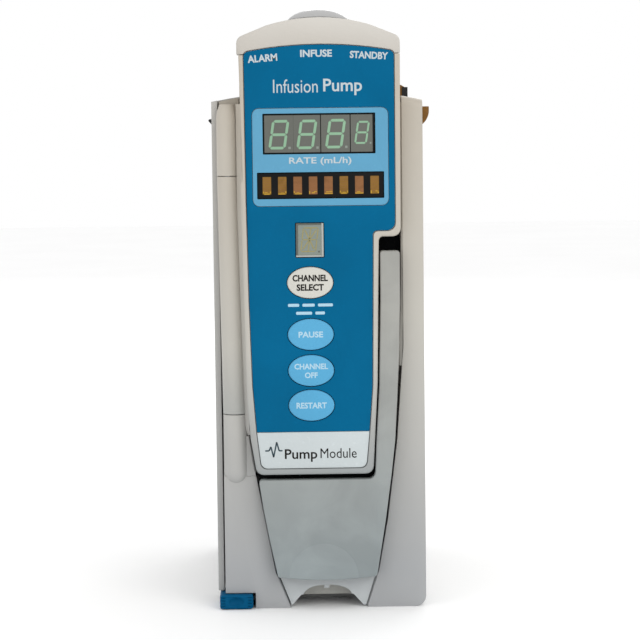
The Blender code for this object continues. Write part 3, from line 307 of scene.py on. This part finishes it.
IVORY = srgb(196, 188, 175)
# painted light over the case's own ivory: warmer and lighter towards the top, cooler and greyer towards the
# foot
CASE_PAINTED_LIGHT_STOPS = ((15, srgb(173, 175, 177)), (110, srgb(199, 196, 188)), (195, IVORY))
# painted light and shade over the door's own ivory: warm at the top, greyer and darker down to the handle,
# and lighter again at the foot to make up for the shade under the handle
DOOR_PAINTED_LIGHT_STOPS = ((4, srgb(200, 205, 207)), (14, srgb(182, 186, 188)), (52, srgb(160, 165, 166)),
              (100, srgb(197, 194, 186)), (195, srgb(196, 187, 173)))
# painted shade over the rear case's own colour: greyer towards the foot, lighter towards the top
BACK_PAINTED_SHADE_STOPS = ((15, srgb(183, 184, 183)), (195, srgb(197, 195, 190)))
MATERIALS = {
    "ivory": moulded("ivory_abs", IVORY, CASE_PAINTED_LIGHT_STOPS, 0.42, 0.03, wear=0.0, dust=0.015),
    "door_ivory": moulded("door_ivory_abs", IVORY, DOOR_PAINTED_LIGHT_STOPS, 0.42, 0.03, wear=0.0, dust=0.015),
    "case_back": moulded("grey_ivory_abs", IVORY, BACK_PAINTED_SHADE_STOPS, 0.5, 0.05, 0.02, 1500, wear=0.0),
    "handle": pull_handle("handle_grey_abs", srgb(170, 170, 165), srgb(152, 161, 163)),
    "latch": moulded("latch_blue_acetal", srgb(0, 86, 128), None, 0.45, 0.15, 0.012, 1600, 0.05,
                     wear=0.1, dust=0.01),
    "inner": moulded("inner_white_nylon", srgb(196, 196, 190), None, 0.5, 0.05, 0.015, 1800),
    "black": moulded("black_nylon", srgb(30, 30, 31), None, 0.42, 0.2, 0.02, 1500, dust=0.08),
    # a black sheet standing in for the shade in deep gaps: painted shadow
    "painted_shadow": moulded("painted_shadow_black", srgb(16, 17, 19), None, 0.8, 0.2, 0.02, 900, 0.05,
                    wear=0.0, dust=0.02),
    "amber": moulded("amber_acetal", srgb(132, 90, 34), None, 0.36, 0.25, 0.01, 900, 0.15, 0.05,
                     wear=0.1, dust=0.01),
    "lens": lamp_cap("frosted_lamp_cap", 209, 224),
    "dome": moulded("frosted_dome", srgb(186, 186, 186), None, 0.22, 0.06, 0.004, 2600, 0.5, 0.2,
                    wear=0.0, dust=0.02),
    "panel": printed("blue_overlay", srgb(0, 100, 143), 0.5, 0.05, 0.06),
    "surround": printed("light_blue_overlay", srgb(100, 164, 198), 0.45, 0.08, 0.04),
    "key_blue": printed("key_blue_ink", srgb(92, 172, 214), 0.42, 0.12, 0.04),
    "key_white": printed("key_white_ink", srgb(214, 213, 205), 0.42, 0.15, 0.03),
    "plate": printed("plate_white_ink", srgb(205, 213, 215), 0.42, 0.15, 0.03),
    "white_ink": printed("white_ink", srgb(196, 206, 210), 0.5, 0.05, 0.02),
    "pale_ink": printed("pale_blue_ink", srgb(180, 214, 232), 0.5, 0.05, 0.02),
    "black_ink": printed("black_ink", srgb(34, 32, 30), 0.5, 0.05, 0.05),
    "grey_ink": printed("grey_ink", srgb(70, 86, 94), 0.5, 0.05, 0.05),
    "led_face": printed("led_module_face", srgb(106, 108, 102), 0.4, 0.12, 0.07, 1800, 0.03),
    "led_gap": printed("led_module_gap", srgb(20, 21, 22), 0.5, 0.1, 0.1),
    "led_segment": printed("led_segment", srgb(144, 182, 152), 0.4, 0.12, 0.06, 2600),
    "message_face": printed("message_face", srgb(12, 13, 14), 0.35, 0.12, 0.2, 1800, 0.03),
    "window_face": printed("channel_window_face", srgb(140, 148, 140), 0.4, 0.15, 0.05, 1800, 0.03),
    "window_painted_light": printed("channel_window_painted_light", srgb(182, 184, 180), 0.4, 0.15, 0.04),
    "window_painted_shade": printed("channel_window_painted_shade", srgb(106, 108, 102), 0.4, 0.1, 0.05),
    "window_segment": printed("channel_window_segment", srgb(160, 152, 108), 0.4, 0.1, 0.06),
    "silver_label": printed("silver_label", srgb(184, 186, 186), 0.32, 0.5, 0.05, 2600, 0.2),
    "steel": metal("ground_steel", (0.56, 0.56, 0.57), 0.28, (1, 1, 0.04)),
    "aluminium": metal("brushed_aluminium", (0.68, 0.69, 0.70), 0.34, (0.04, 1, 1)),
    "brass": metal("turned_brass", (0.66, 0.47, 0.18), 0.28, (1, 1, 0.05)),
    "gold": metal("gold_leadframe", srgb(156, 120, 58), 0.45, (0.06, 1, 0.5), 0.6),
    "copper": metal("copper_leadframe", srgb(158, 112, 76), 0.45, (0.06, 1, 0.5), 0.6),
    "gold_bright": metal("gold_bond", srgb(212, 168, 68), 0.36, (0.3, 1, 1), 0.15),
    "silicone": moulded("silicone", srgb(158, 168, 172), None, 0.55, 0.06, 0.01, 1200, 0.3, wear=0.0),
    "board": circuit("circuit_board"),
}


# ---------------------------------------------------------------- geometry
INK_PROUD, INK_SUNK = 0.03, 0.02  # how far lettering stands out of its surface, and reaches into it


def link(obj):
    bpy.context.scene.collection.objects.link(obj)
    return obj


def applied(obj):
    """The object with its modifiers applied."""
    bpy.context.view_layer.update()
    graph = bpy.context.evaluated_depsgraph_get()
    data = bpy.data.meshes.new_from_object(obj.evaluated_get(graph))
    obj.modifiers.clear()
    obj.data = data
    return obj


def coated(obj, material):
    obj.data.materials.clear()
    obj.data.materials.append(MATERIALS[material])
    return obj


def bevelled(obj, edge, angle=32):
    """Every edge sharper than an angle, in degrees, rounded by a width."""
    bevel = obj.modifiers.new("edges", "BEVEL")
    bevel.width = edge * MM
    bevel.segments = 3
    bevel.limit_method = "ANGLE"
    bevel.angle_limit = math.radians(angle)
    bevel.use_clamp_overlap = True
    bevel.miter_outer = "MITER_ARC"
    return applied(obj)


def smoothed(obj, angle=32):
    """Smooth shading that stops at edges sharper than an angle, in degrees."""
    obj.data.shade_smooth()
    obj.data.set_sharp_from_angle(angle=math.radians(angle))
    return obj


def skin(node, material, edge):
    """A finely finished copy of a CAD node: flat areas merged, sharp edges rounded, curves smooth."""
    source = NODES[node]
    mesh = bmesh.new()
    mesh.from_mesh(source.data)
    bmesh.ops.remove_doubles(mesh, verts=mesh.verts, dist=0.002 * MM)
    bmesh.ops.dissolve_limit(mesh, angle_limit=math.radians(0.6), verts=mesh.verts, edges=mesh.edges)
    data = bpy.data.meshes.new(node + "_skin")
    mesh.to_mesh(data)
    mesh.free()
    obj = link(bpy.data.objects.new(node + "_skin", data))
    bevelled(obj, edge)
    smoothed(obj)
    coated(obj, material)
    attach(obj, source["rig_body"])
    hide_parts(node)


def piece(name, mesh, material, body):
    """A new object from a bmesh, riding on a body."""
    bmesh.ops.recalc_face_normals(mesh, faces=mesh.faces)
    data = bpy.data.meshes.new(name)
    mesh.to_mesh(data)
    mesh.free()
    obj = smoothed(coated(link(bpy.data.objects.new(name, data)), material))
    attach(obj, body)
    return obj


def add_prism(mesh, outline, front, back, axis="Y"):
    """Extrudes an outline between two depths: (x, z) along Y, or (y, z) along X."""
    order = {"Y": (0, 2, 1), "X": (1, 2, 0)}[axis]
    loops = []
    for depth in (front, back):
        loop = []
        for u, v in outline:
            place = [0.0, 0.0, 0.0]
            for slot, value in zip(order, (u, v, depth)):
                place[slot] = value * MM
            loop.append(mesh.verts.new(place))
        loops.append(loop)
    near, far = loops
    mesh.faces.new(near)
    mesh.faces.new(far)
    for k in range(len(near)):
        mesh.faces.new((near[k - 1], near[k], far[k], far[k - 1]))


def prisms(name, outlines, front, back, material, body):
    """One piece of several (x, z) outlines, all extruded between the same two depths."""
    mesh = bmesh.new()
    for outline in outlines:
        add_prism(mesh, outline, front, back)
    return piece(name, mesh, material, body)


def strip(name, stations, material, body):
    """A bar lofted up Z. A station is (z, its outline of (x, y) corners)."""
    mesh = bmesh.new()
    loops = [[mesh.verts.new((x * MM, y * MM, z * MM)) for x, y in outline] for z, outline in stations]
    for low, high in zip(loops, loops[1:]):
        for k in range(len(low)):
            mesh.faces.new((low[k - 1], low[k], high[k], high[k - 1]))
    mesh.faces.new(loops[0])
    mesh.faces.new(loops[-1])
    return piece(name, mesh, material, body)


def rectangle(low_u, high_u, low_v, high_v, radius=0.0, steps=4):
    """The corners of a rectangle, each an arc of so many steps where there is a radius."""
    if radius <= 0:
        return [(low_u, low_v), (high_u, low_v), (high_u, high_v), (low_u, high_v)]
    points = []
    for u, v, start in (
        (high_u - radius, low_v + radius, -90), (high_u - radius, high_v - radius, 0),
        (low_u + radius, high_v - radius, 90), (low_u + radius, low_v + radius, 180),
    ):
        for k in range(steps + 1):
            a = math.radians(start + 90 * k / steps)
            points.append((u + radius * math.cos(a), v + radius * math.sin(a)))
    return points


def bar(start, end, thick, trim):
    """A segment of a display character: a bar with pointed ends between two points."""
    start, end = Vector(start), Vector(end)
    along = (end - start).normalized()
    side = Vector((-along.y, along.x)) * thick / 2
    first, last = start + along * trim, end - along * trim
    tip = along * thick / 2
    return [tuple(p) for p in (first, first + tip - side, last - tip - side, last, last - tip + side,
                               first + tip + side)]


def circle(u, v, radius, sides):
    """The corners of a circle about (u, v)."""
    angles = [2 * math.pi * k / sides for k in range(sides)]
    return [(u + radius * math.cos(a), v + radius * math.sin(a)) for a in angles]


def lettering(name, lines, material, body, face):
    """Raised ink. A line is (text, centre x, centre z, width, height, boldness, turn in degrees)."""
    mesh = bmesh.new()
    for text, x, z, width, height, bold, turn in lines:
        curve = bpy.data.curves.new(name + "_curve", "FONT")
        curve.body = text
        curve.size = 1.0
        curve.extrude = 0.5
        curve.offset = bold
        curve.resolution_u = 3
        obj = link(bpy.data.objects.new(name + "_curve", curve))
        bpy.context.view_layer.update()
        data = bpy.data.meshes.new_from_object(obj.evaluated_get(bpy.context.evaluated_depsgraph_get()))
        bpy.data.objects.remove(obj)
        points = [vertex.co.copy() for vertex in data.vertices]
        low = [min(p[i] for p in points) for i in range(3)]
        high = [max(p[i] for p in points) for i in range(3)]
        size = [max(high[i] - low[i], 1e-6) for i in range(3)]
        angle = math.radians(turn)
        cos, sin = math.cos(angle), math.sin(angle)
        for vertex in data.vertices:
            u = ((vertex.co.x - low[0]) / size[0] - 0.5) * width
            v = ((vertex.co.y - low[1]) / size[1] - 0.5) * height
            w = (vertex.co.z - low[2]) / size[2]
            # the letters' face looks along -Y
            across, up = x + u * cos - v * sin, z + u * sin + v * cos
            vertex.co = Vector((across, face + INK_SUNK - w * (INK_PROUD + INK_SUNK), up)) * MM
        mesh.from_mesh(data)
    bmesh.ops.remove_doubles(mesh, verts=mesh.verts, dist=0.0005 * MM)
    return piece(name, mesh, material, body)


# ---------------------------------------------------------------- the CAD parts' own surfaces
# the nodes that get a skin: its material, and the width that its edges are rounded by
SKINS = {
    "front_case": ("ivory", 0.35), "door_shell": ("door_ivory", 0.3), "rear_case": ("case_back", 0.35),
    "status_lens": ("lens", 0.25), "status_dome": ("dome", 0.15), "handle": ("handle", 0.3),
    "release_latch": ("latch", 0.2), "keypad_overlay": ("panel", 0.06),
    "display_surround": ("surround", 0.06), "name_plate": ("plate", 0.06),
    "left_connector": ("black", 0.25), "right_connector": ("black", 0.25),
    "right_connector_hook": ("amber", 0.25), "connector_tab": ("amber", 0.25),
    "door_backplate": ("inner", 0.2), "platen": ("aluminium", 0.25), "air_sensor": ("black", 0.2),
    "clamp_receptacle": ("latch", 0.25), "upper_fitment_receptacle": ("inner", 0.25),
    "membrane_seal": ("silicone", 0.1), "latch_hook": ("steel", 0.15), "latch_striker": ("steel", 0.15),
    "key_select": ("key_white", 0.12), "key_pause": ("key_blue", 0.12), "key_off": ("key_blue", 0.12),
    "key_restart": ("key_blue", 0.12),
    "lower_pressure_sensor": ("steel", 0.08), "upper_pressure_sensor": ("steel", 0.08),
    "rate_display": ("led_gap", 0.1), "message_display": ("message_face", 0.1),
    "channel_display": ("window_face", 0.1),
}
# the nodes that keep their own surface, by material
CARRIED = {
    "steel": ("camshaft", "camshaft_bearing_lower", "camshaft_bearing_upper", "handle_pin", "hinge_pin",
              "platen_spring_lower", "platen_spring_upper", "release_latch_spring", "case_screw_1",
              "case_screw_2", "case_screw_3", "case_screw_4"),
    "inner": ("camshaft_gear", *[f"pumping_finger_{i}" for i in range(1, 9)]),
    "aluminium": ("mechanism_frame", "motor"),
    "brass": ("motor_pinion",),
    "board": ("display_board", "logic_board", "power_board"),
}
for node, (material, edge) in SKINS.items():
    skin(node, material, edge)
for material, nodes in CARRIED.items():
    for node in nodes:
        for slot in NODES[node].material_slots:
            slot.material = MATERIALS[material]

# ---------------------------------------------------------------- displays
# the strokes of a character, in a box from (-1, -1) to (1, 1)
SEVEN = (((-1, 1), (1, 1)), ((-1, 0), (1, 0)), ((-1, -1), (1, -1)), ((-1, 0), (-1, 1)), ((1, 0), (1, 1)),
         ((-1, -1), (-1, 0)), ((1, -1), (1, 0)))
STAR = (((-1, 1), (1, 1)), ((-1, 0), (0, 0)), ((0, 0), (1, 0)), ((-1, -1), (1, -1)), ((-1, 0), (-1, 1)),
        ((1, 0), (1, 1)), ((-1, -1), (-1, 0)), ((1, -1), (1, 0)), ((0, 0), (0, 1)), ((0, -1), (0, 0)),
        ((-0.8, 0.85), (0, 0)), ((0.8, 0.85), (0, 0)), ((-0.8, -0.85), (0, 0)), ((0.8, -0.85), (0, 0)))


def character(strokes, half_width, half_height, thick, trim, lean, centre):
    """The bars of one display character, leaning to the right about its centre."""
    outlines = []
    for start, end in strokes:
        stroke = bar((start[0] * half_width, start[1] * half_height),
                     (end[0] * half_width, end[1] * half_height), thick, trim)
        outlines.append([(centre[0] + (u + v * lean), centre[1] + v) for u, v in stroke])
    return outlines


def rate_screen():
    """Four unlit seven-segment modules side by side; the last one is smaller."""
    low, high = span("rate_display")
    face = low.y
    edges = (low.x + 0.35, -9.55, 0.75, 11.75, high.x - 0.75)
    gaps = (0.05, 0.35, 0.35, 0.0)  # on the right of each module
    cells = [
        rectangle(edges[i], edges[i + 1] - gaps[i], low.z + 0.35, high.z - 0.35, 0.15) for i in range(4)
    ]
    prisms("rate_modules", cells, face - 0.08, face + 0.2, "led_face", "door")
    lean = math.tan(math.radians(8.5))
    middle = (low.z + high.z) / 2
    segments, points = [], []
    # centre, half width, half height, stroke, height above the middle, and the point's distance
    for x, half_width, half_height, thick, rise, point in (
        (-14.95, 2.72, 4.95, 1.0, -0.25, 3.9), (-4.55, 2.72, 4.95, 1.0, -0.25, 3.9),
        (6.1, 2.72, 4.95, 1.0, -0.1, 3.95), (15.95, 2.0, 3.9, 0.72, 0.25, 3.15),
    ):
        centre = (x, middle + rise)
        segments += character(SEVEN, half_width, half_height, thick, 0.12, lean, centre)
        size = thick * 0.45
        foot = middle + rise - half_height
        points.append(rectangle(x + point - size, x + point + size, foot - size, foot + size, 0.1))
    prisms("rate_segments", segments, face - 0.13, face - 0.02, "led_segment", "door")
    prisms("rate_points", points, face - 0.12, face - 0.02, "window_face", "door")


def message_screen():
    """Eight unlit characters: a gold leadframe each, with bright bonds along its foot."""
    low, high = span("message_display")
    face, z = low.y, (low.z + high.z) / 2
    plates, bonds, wires = [], [], []
    first, pitch, rung = -19.65, 5.73, 0.62
    # which of the six bonds each character shows
    feet = ((0, 1, 2, 3), (0, 3, 4), (0, 1, 4), (1, 4, 5), (0, 2, 5), (0, 1, 3, 4), (0, 2, 4), (1, 3, 5))
    for i in range(8):
        x = first + pitch * i
        plates.append(rectangle(x - 1.58, x + 1.58, z - 3.3, z + 3.3, 0.2))
        for k in range(9):
            level = z - 2.1 + rung * k
            wires.append(rectangle(x - 1.5, x + 1.5, level - 0.1, level + 0.1))
        strokes = (
            rectangle(x - 1.5, x + 1.5, z - 3.25, z - 2.85), rectangle(x - 1.5, x - 1.1, z - 3.2, z - 2.1),
            rectangle(x - 0.9, x + 0.2, z - 2.6, z - 2.3), rectangle(x + 1.1, x + 1.5, z - 3.2, z - 2.1),
            rectangle(x - 0.5, x + 0.6, z - 2.95, z - 2.55), rectangle(x + 0.3, x + 1.4, z - 2.5, z - 2.15),
        )
        bonds += [strokes[k] for k in feet[i]]
    plain = [plates[i] for i in (0, 1, 5, 7)]
    warm = [plates[i] for i in (2, 3, 4, 6)]
    prisms("message_plates", plain, face - 0.04, face + 0.2, "gold", "door")
    prisms("message_plates_warm", warm, face - 0.04, face + 0.2, "copper", "door")
    prisms("message_wires", wires, face - 0.07, face - 0.02, "copper", "door")
    prisms("message_bonds", bonds, face - 0.10, face - 0.02, "gold_bright", "door")


def channel_screen():
    """One unlit starburst character in a shallow well, its right and lower edges painted pale as painted
    light and its left and upper edges painted dark as painted shade.
    """
    low, high = span("channel_display")
    face = low.y
    centre = ((low.x + high.x) / 2 - 0.1, (low.z + high.z) / 2 + 0.15)
    strokes = character(STAR, 2.75, 4.4, 0.42, 0.16, math.tan(math.radians(7)), centre)
    prisms("channel_segments", strokes, face - 0.04, face + 0.1, "window_segment", "door")
    # painted light: pale strips along the well's right and lower edges
    pale = [rectangle(high.x - 0.75, high.x - 0.02, low.z + 0.02, high.z - 0.02),
            rectangle(low.x + 0.02, high.x - 0.8, low.z + 0.02, low.z + 0.6)]
    prisms("channel_painted_light", pale, face - 0.16, face + 0.1, "window_painted_light", "door")
    # painted shade: dark strips along the well's left and upper edges, and a small dark dot in the same
    # colour
    shade = [rectangle(low.x + 0.02, low.x + 0.8, low.z + 0.65, high.z - 0.02),
             rectangle(low.x + 0.85, high.x - 0.8, high.z - 0.7, high.z - 0.02),
             rectangle(high.x - 2.1, high.x - 1.4, low.z + 1.6, low.z + 2.3, 0.3)]
    prisms("channel_painted_shade", shade, face - 0.03, face + 0.1, "window_painted_shade", "door")


# ---------------------------------------------------------------- printing, generic words and marks only
def panel_printing():
    """The words over the keys and displays, and plain dashes below the first key."""
    face = span("keypad_overlay")[0].y
    lettering("function_words", [
        ("ALARM", -20.7, 207.8, 11.0, 2.7, 0.035, 4),
        ("INFUSE", -0.8, 209.4, 11.8, 2.7, 0.035, 0),
        ("STANDBY", 18.8, 208.5, 14.2, 2.7, 0.035, -3),
    ], "white_ink", "door", face)
    lettering("generic_title", [
        ("Infusion", -8.6, 197.4, 16.6, 5.0, 0.0, 0),
        ("Pump", 8.9, 196.9, 14.4, 6.2, 0.015, 0),
    ], "white_ink", "door", face)
    surround = span("display_surround")[0].y
    lettering("rate_words", [
        ("RATE (mL/h)", 0.3, 169.5, 23.2, 3.1, 0.02, 0),
    ], "white_ink", "door", surround)
    middle, gap = -4.0, 1.2
    dashes = []
    for z, words in ((115.9, (4.2, 4.6, 5.6)), (112.9, (6.0, 3.6))):
        x = middle - (sum(words) + gap * (len(words) - 1)) / 2
        for word in words:
            dashes.append(rectangle(x, x + word, z - 0.55, z + 0.55, 0.4))
            x += word + gap
    prisms("plain_dashes", dashes, face - 0.03, face + 0.05, "pale_ink", "door")


def key_printing():
    """The word or words on each key. A line is (text, height above the middle, width, height)."""
    for key, ink, lines in (
        ("key_select", "black_ink", (("CHANNEL", 1.75, 13.2, 2.5), ("SELECT", -1.75, 10.2, 2.5))),
        ("key_pause", "pale_ink", (("PAUSE", 0.0, 9.2, 2.3),)),
        ("key_off", "pale_ink", (("CHANNEL", 1.6, 12.6, 2.2), ("OFF", -1.7, 4.8, 2.2))),
        ("key_restart", "pale_ink", (("RESTART", 0.0, 11.4, 2.3),)),
    ):
        low, high = span(key)
        x, z = (low.x + high.x) / 2, (low.z + high.z) / 2
        words = [(text, x, z + rise, width, height, 0.035, 0) for text, rise, width, height in lines]
        lettering(key + "_words", words, ink, NODES[key]["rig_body"], low.y)


def plate_printing():
    """A plain pulse line and two generic words on the pale plate."""
    face = span("name_plate")[0].y
    trace = ((-21.6, 0.0), (-20.2, 0.0), (-19.5, 1.5), (-18.5, -2.4), (-17.3, 3.2), (-16.4, 0.0),
             (-15.2, 0.0))
    z = 61.2
    line = [bar((u0, z + v0), (u1, z + v1), 0.55, -0.16) for (u0, v0), (u1, v1) in zip(trace, trace[1:])]
    prisms("pulse_line", line, face - 0.03, face + 0.05, "grey_ink", "door")
    lettering("plate_words", [
        ("Pump", -8.2, 59.3, 12.2, 4.9, 0.015, 0), ("Module", 5.9, 60.0, 13.6, 3.7, 0.0, 0),
    ], "black_ink", "door", face)


# ---------------------------------------------------------------- gaps, painted shadow sheets and seals
def painted_shadow_sheets():
    """Black sheets in the gaps round the door's handle, where there is only shade: painted shadow."""
    handle_high = span("handle")[1]
    gap = [(-24.2, 49.0), (21.0, 49.0), (22.6, 66.0), (23.6, 90.0), (24.0, 117.0), (24.2, 134.8),
           (21.9, 134.8), (21.6, 117.0), (20.9, 87.0), (19.6, 64.0), (19.0, 53.2), (-24.2, 53.2)]
    prisms("door_gap_painted_shadow", [gap], handle_high.y - 5.2, handle_high.y - 3.6, "painted_shadow", "door")
    pocket = rectangle(22.0, 30.1, handle_high.z - 0.6, 141.0, 0.4)
    prisms("latch_pocket_painted_shadow", [pocket], -57.6, -56.4, "painted_shadow", "door")


LEG_FACE = -62.9  # the depth of the case's front beside a filler


def hinge_fillets():
    """The soft fillets between the door's raised face and the hinge barrel on its left."""
    notch = [(66.5, [(-28.3, -63.0), (-28.2, -62.7), (-27.9, -61.0), (-27.45, -61.0), (-27.15, -64.0)])]
    # height, the barrel's edge, its depth there, and the edge of the door's face
    for z, column, depth, face in (
        (69.0, -29.0, -63.9, -27.5), (90.0, -29.6, -64.0, -28.25), (120.0, -30.3, -63.95, -28.55),
        (150.0, -31.0, -63.75, -29.05), (191.0, -31.0, -63.75, -29.05),
    ):
        notch.append((z, [(column, depth), (column + 0.8, -62.6), (column + 1.15, -61.0),
                          (face - 0.2, -61.0), (face, depth - 1.8)]))
    strip("hinge_fillet", notch, "ivory", "door")
    root = []
    for z, right in (
        (50.8, -25.35), (54.0, -26.0), (57.0, -26.55), (60.0, -26.95), (63.0, -27.45), (66.0, -27.8),
    ):
        root.append((z, [(-28.9, -63.4), (right, -63.4), (right, -62.2), (-28.9, -62.2)]))
    strip("barrel_root_fillet", root, "ivory", "case")


def case_fillets():
    """Fillets on the case beside the door's closing edge and its foot. A row is (height, door, case)."""
    edge = []
    for z, door, case in (
        (92.0, 29.35, 30.4), (120.0, 30.1, 31.25), (150.0, 30.5, 31.25), (191.0, 30.5, 31.25),
    ):
        edge.append((z, [(door, -62.6), (case, -63.1), (case, -59.0), (door, -59.0)]))
    strip("closing_edge_fillet", edge, "ivory", "case")
    foot = []
    for z, door, case in ((0.4, -12.7, -13.2), (6.0, -14.75, -15.3), (12.4, -17.2, -17.75)):
        foot.append((z, [(case, LEG_FACE), (door, -62.0), (door, -58.0), (case, -58.0)]))
    strip("foot_fillet_left", foot, "ivory", "case")
    foot = []
    for z, door, case in (
        (0.4, 16.15, 16.95), (6.0, 17.95, 18.6), (10.0, 19.1, 19.95), (12.4, 19.75, 20.6),
    ):
        foot.append((z, [(door, -62.0), (case, LEG_FACE), (case, -58.0), (door, -58.0)]))
    strip("foot_fillet_right", foot, "ivory", "case")


def gasket():
    """The rubber bead on the door's back, round the window that the platen shows through."""
    back = span("door_backplate")[1].y
    mesh = bmesh.new()
    outer = rectangle(-8.6, 11.8, 78.0, 166.0, 3.0, 6)
    inner = rectangle(-6.9, 10.1, 79.7, 164.3, 2.0, 6)
    rows = []
    for outline, depth in (
        (outer, back - 0.1), (outer, back + 0.3), (inner, back + 0.3), (inner, back - 0.1),
    ):
        rows.append([mesh.verts.new((u * MM, depth * MM, v * MM)) for u, v in outline])
    for first, second in zip(rows, rows[1:] + rows[:1]):
        for k in range(len(first)):
            mesh.faces.new((first[k - 1], first[k], second[k], second[k - 1]))
    piece("door_gasket", mesh, "black", "door")


# ---------------------------------------------------------------- sides, back and floor of the channel
def contacts():
    """Gold spring contacts in the socket on each side, and the black pad on the connector's tab."""
    for side, sign in (("left", -1), ("right", 1)):
        low, high = span(f"{side}_connector")
        floor = low.x + 5 if side == "left" else high.x - 5
        mesh = bmesh.new()
        for row in range(2):
            for column in range(5):
                y = (low.y + high.y) / 2 - 8 + 4 * column
                z = low.z + 7.5 + 8 * row
                depth = sorted((floor - sign * 0.3, floor + sign * 2.2))
                add_prism(mesh, rectangle(y - 0.6, y + 0.6, z - 1.9, z + 1.9, 0.5), *depth, "X")
        piece(f"{side}_contacts", mesh, "gold_bright", "case")
    low, high = span("connector_tab")
    pad = rectangle((low.x + high.x) / 2 - 0.4, high.x + 0.04, low.z, high.z - 0.9)
    prisms("connector_tab_pad", [pad], low.y - 0.06, high.y + 0.06, "black", "case")


def back_plate():
    """A blank silver label in its recess, with ruled fields and no lettering, and four bumpers."""
    back = span("rear_case")[1].y
    label = rectangle(-21.5, 21.5, 40.5, 91.5, 2.6)
    prisms("back_label", [label], back - 0.85, back - 0.6, "silver_label", "case")
    rules = [rectangle(-19, 19, z - 0.12, z + 0.12) for z in (84.5, 77.5, 70.5, 63.5, 49.5)]
    rules += [rectangle(x - 0.12, x + 0.12, 49.5, 84.5) for x in (-19, 2, 19)]
    prisms("back_label_rules", rules, back - 0.62, back - 0.57, "grey_ink", "case")
    blocks = [rectangle(-17, -17 + width, z - 1.0, z + 1.0, 0.3)
              for width, z in ((14, 81), (9, 74), (12, 67), (16, 56.5))]
    prisms("back_label_blocks", blocks, back - 0.62, back - 0.57, "window_face", "case")
    for i, (x, z) in enumerate(((-30.0, 30.0), (30.0, 30.0), (-30.0, 160.0), (30.0, 160.0))):
        disc = circle(x, z, 3.4, 36)
        bumper = prisms(f"back_bumper_{i + 1}", [disc], back - 0.45, back + 0.45, "black", "case")
        smoothed(bevelled(bumper, 0.3, 40), 40)


def channel_floor():
    """Arrows moulded beside the tube channel, pointing down along the flow."""
    front = -52.4
    arrows = []
    for x in (-13.5, 16.5):
        for z in (150.0, 122.0, 94.0):
            arrows.append([(x - 0.6, z + 6), (x - 0.6, z), (x - 2.0, z), (x, z - 4), (x + 2.0, z),
                           (x + 0.6, z), (x + 0.6, z + 6)])
    prisms("flow_arrows", arrows, front - 0.12, front + 0.2, "surround", "case")


rate_screen()
message_screen()
channel_screen()
panel_printing()
key_printing()
plate_printing()
painted_shadow_sheets()
hinge_fillets()
case_fillets()
gasket()
contacts()
back_plate()
channel_floor()


# ---------------------------------------------------------------- stage, light and camera, in metres
def area(name, place, target, size, power, colour=(1, 1, 1)):
    """A soft rectangular light that looks at a target."""
    data = bpy.data.lights.new(name, "AREA")
    data.shape = "RECTANGLE"
    data.size, data.size_y = size
    data.energy = power
    data.color = colour
    obj = link(bpy.data.objects.new(name, data))
    obj.location = place
    obj.rotation_mode = "QUATERNION"
    obj.rotation_quaternion = (Vector(target) - Vector(place)).to_track_quat("-Z", "Y")


floor_data = bpy.data.meshes.new("floor")
floor_data.from_pydata([(-3, -3, 0), (3, -3, 0), (3, 3, 0), (-3, 3, 0)], [], [(0, 1, 2, 3)])
floor = link(bpy.data.objects.new("floor", floor_data))
paper = Nodes("floor_paper", 0.85, 0.0, 0.1)
grey = paper.ranged(paper.noise(8, 3), 0.3, 0.7, 0.0, 1.0)
sheet = paper.mixed(grey, (0.965, 0.965, 0.965), (0.985, 0.985, 0.985))
floor.data.materials.append(paper.done(sheet, paper.bump(paper.noise(600, 2), 0.05, 0.2)))

world = bpy.data.worlds.new("studio")
bpy.context.scene.world = world
world.use_nodes = True
world.node_tree.nodes["Background"].inputs["Color"].default_value = (1, 1, 1, 1)
world.node_tree.nodes["Background"].inputs["Strength"].default_value = 1.0
bpy.context.scene.view_settings.view_transform = "Standard"
area("key", (0.65, -1.0, 0.75), (0, 0, 0.11), (0.7, 0.7), 3.4, (1.0, 0.98, 0.94))
area("fill", (-0.9, -0.9, 0.3), (0, 0, 0.11), (0.9, 0.9), 0.6, (0.95, 0.98, 1.0))
area("rim", (0.3, 1.1, 0.9), (0, 0, 0.11), (0.9, 0.6), 4.0)

TARGET = Vector((-0.0005, -0.070, 0.1103))
DISTANCE = 0.900
AZIMUTH, ELEVATION, ROLL = -1.0, 5.0, 0.68  # in degrees
cam_data = bpy.data.cameras.new("camera")
cam_data.sensor_width = 36
cam_data.lens = 135.5
cam = link(bpy.data.objects.new("camera", cam_data))
a, e = math.radians(AZIMUTH), math.radians(ELEVATION)
back = Vector((math.sin(a) * math.cos(e), -math.cos(a) * math.cos(e), math.sin(e)))
cam.location = TARGET + back * DISTANCE
cam.rotation_mode = "QUATERNION"
turn = Matrix.Rotation(math.radians(-ROLL), 3, "Z").to_quaternion()
cam.rotation_quaternion = (-back).to_track_quat("-Z", "Y") @ turn
bpy.context.scene.camera = cam
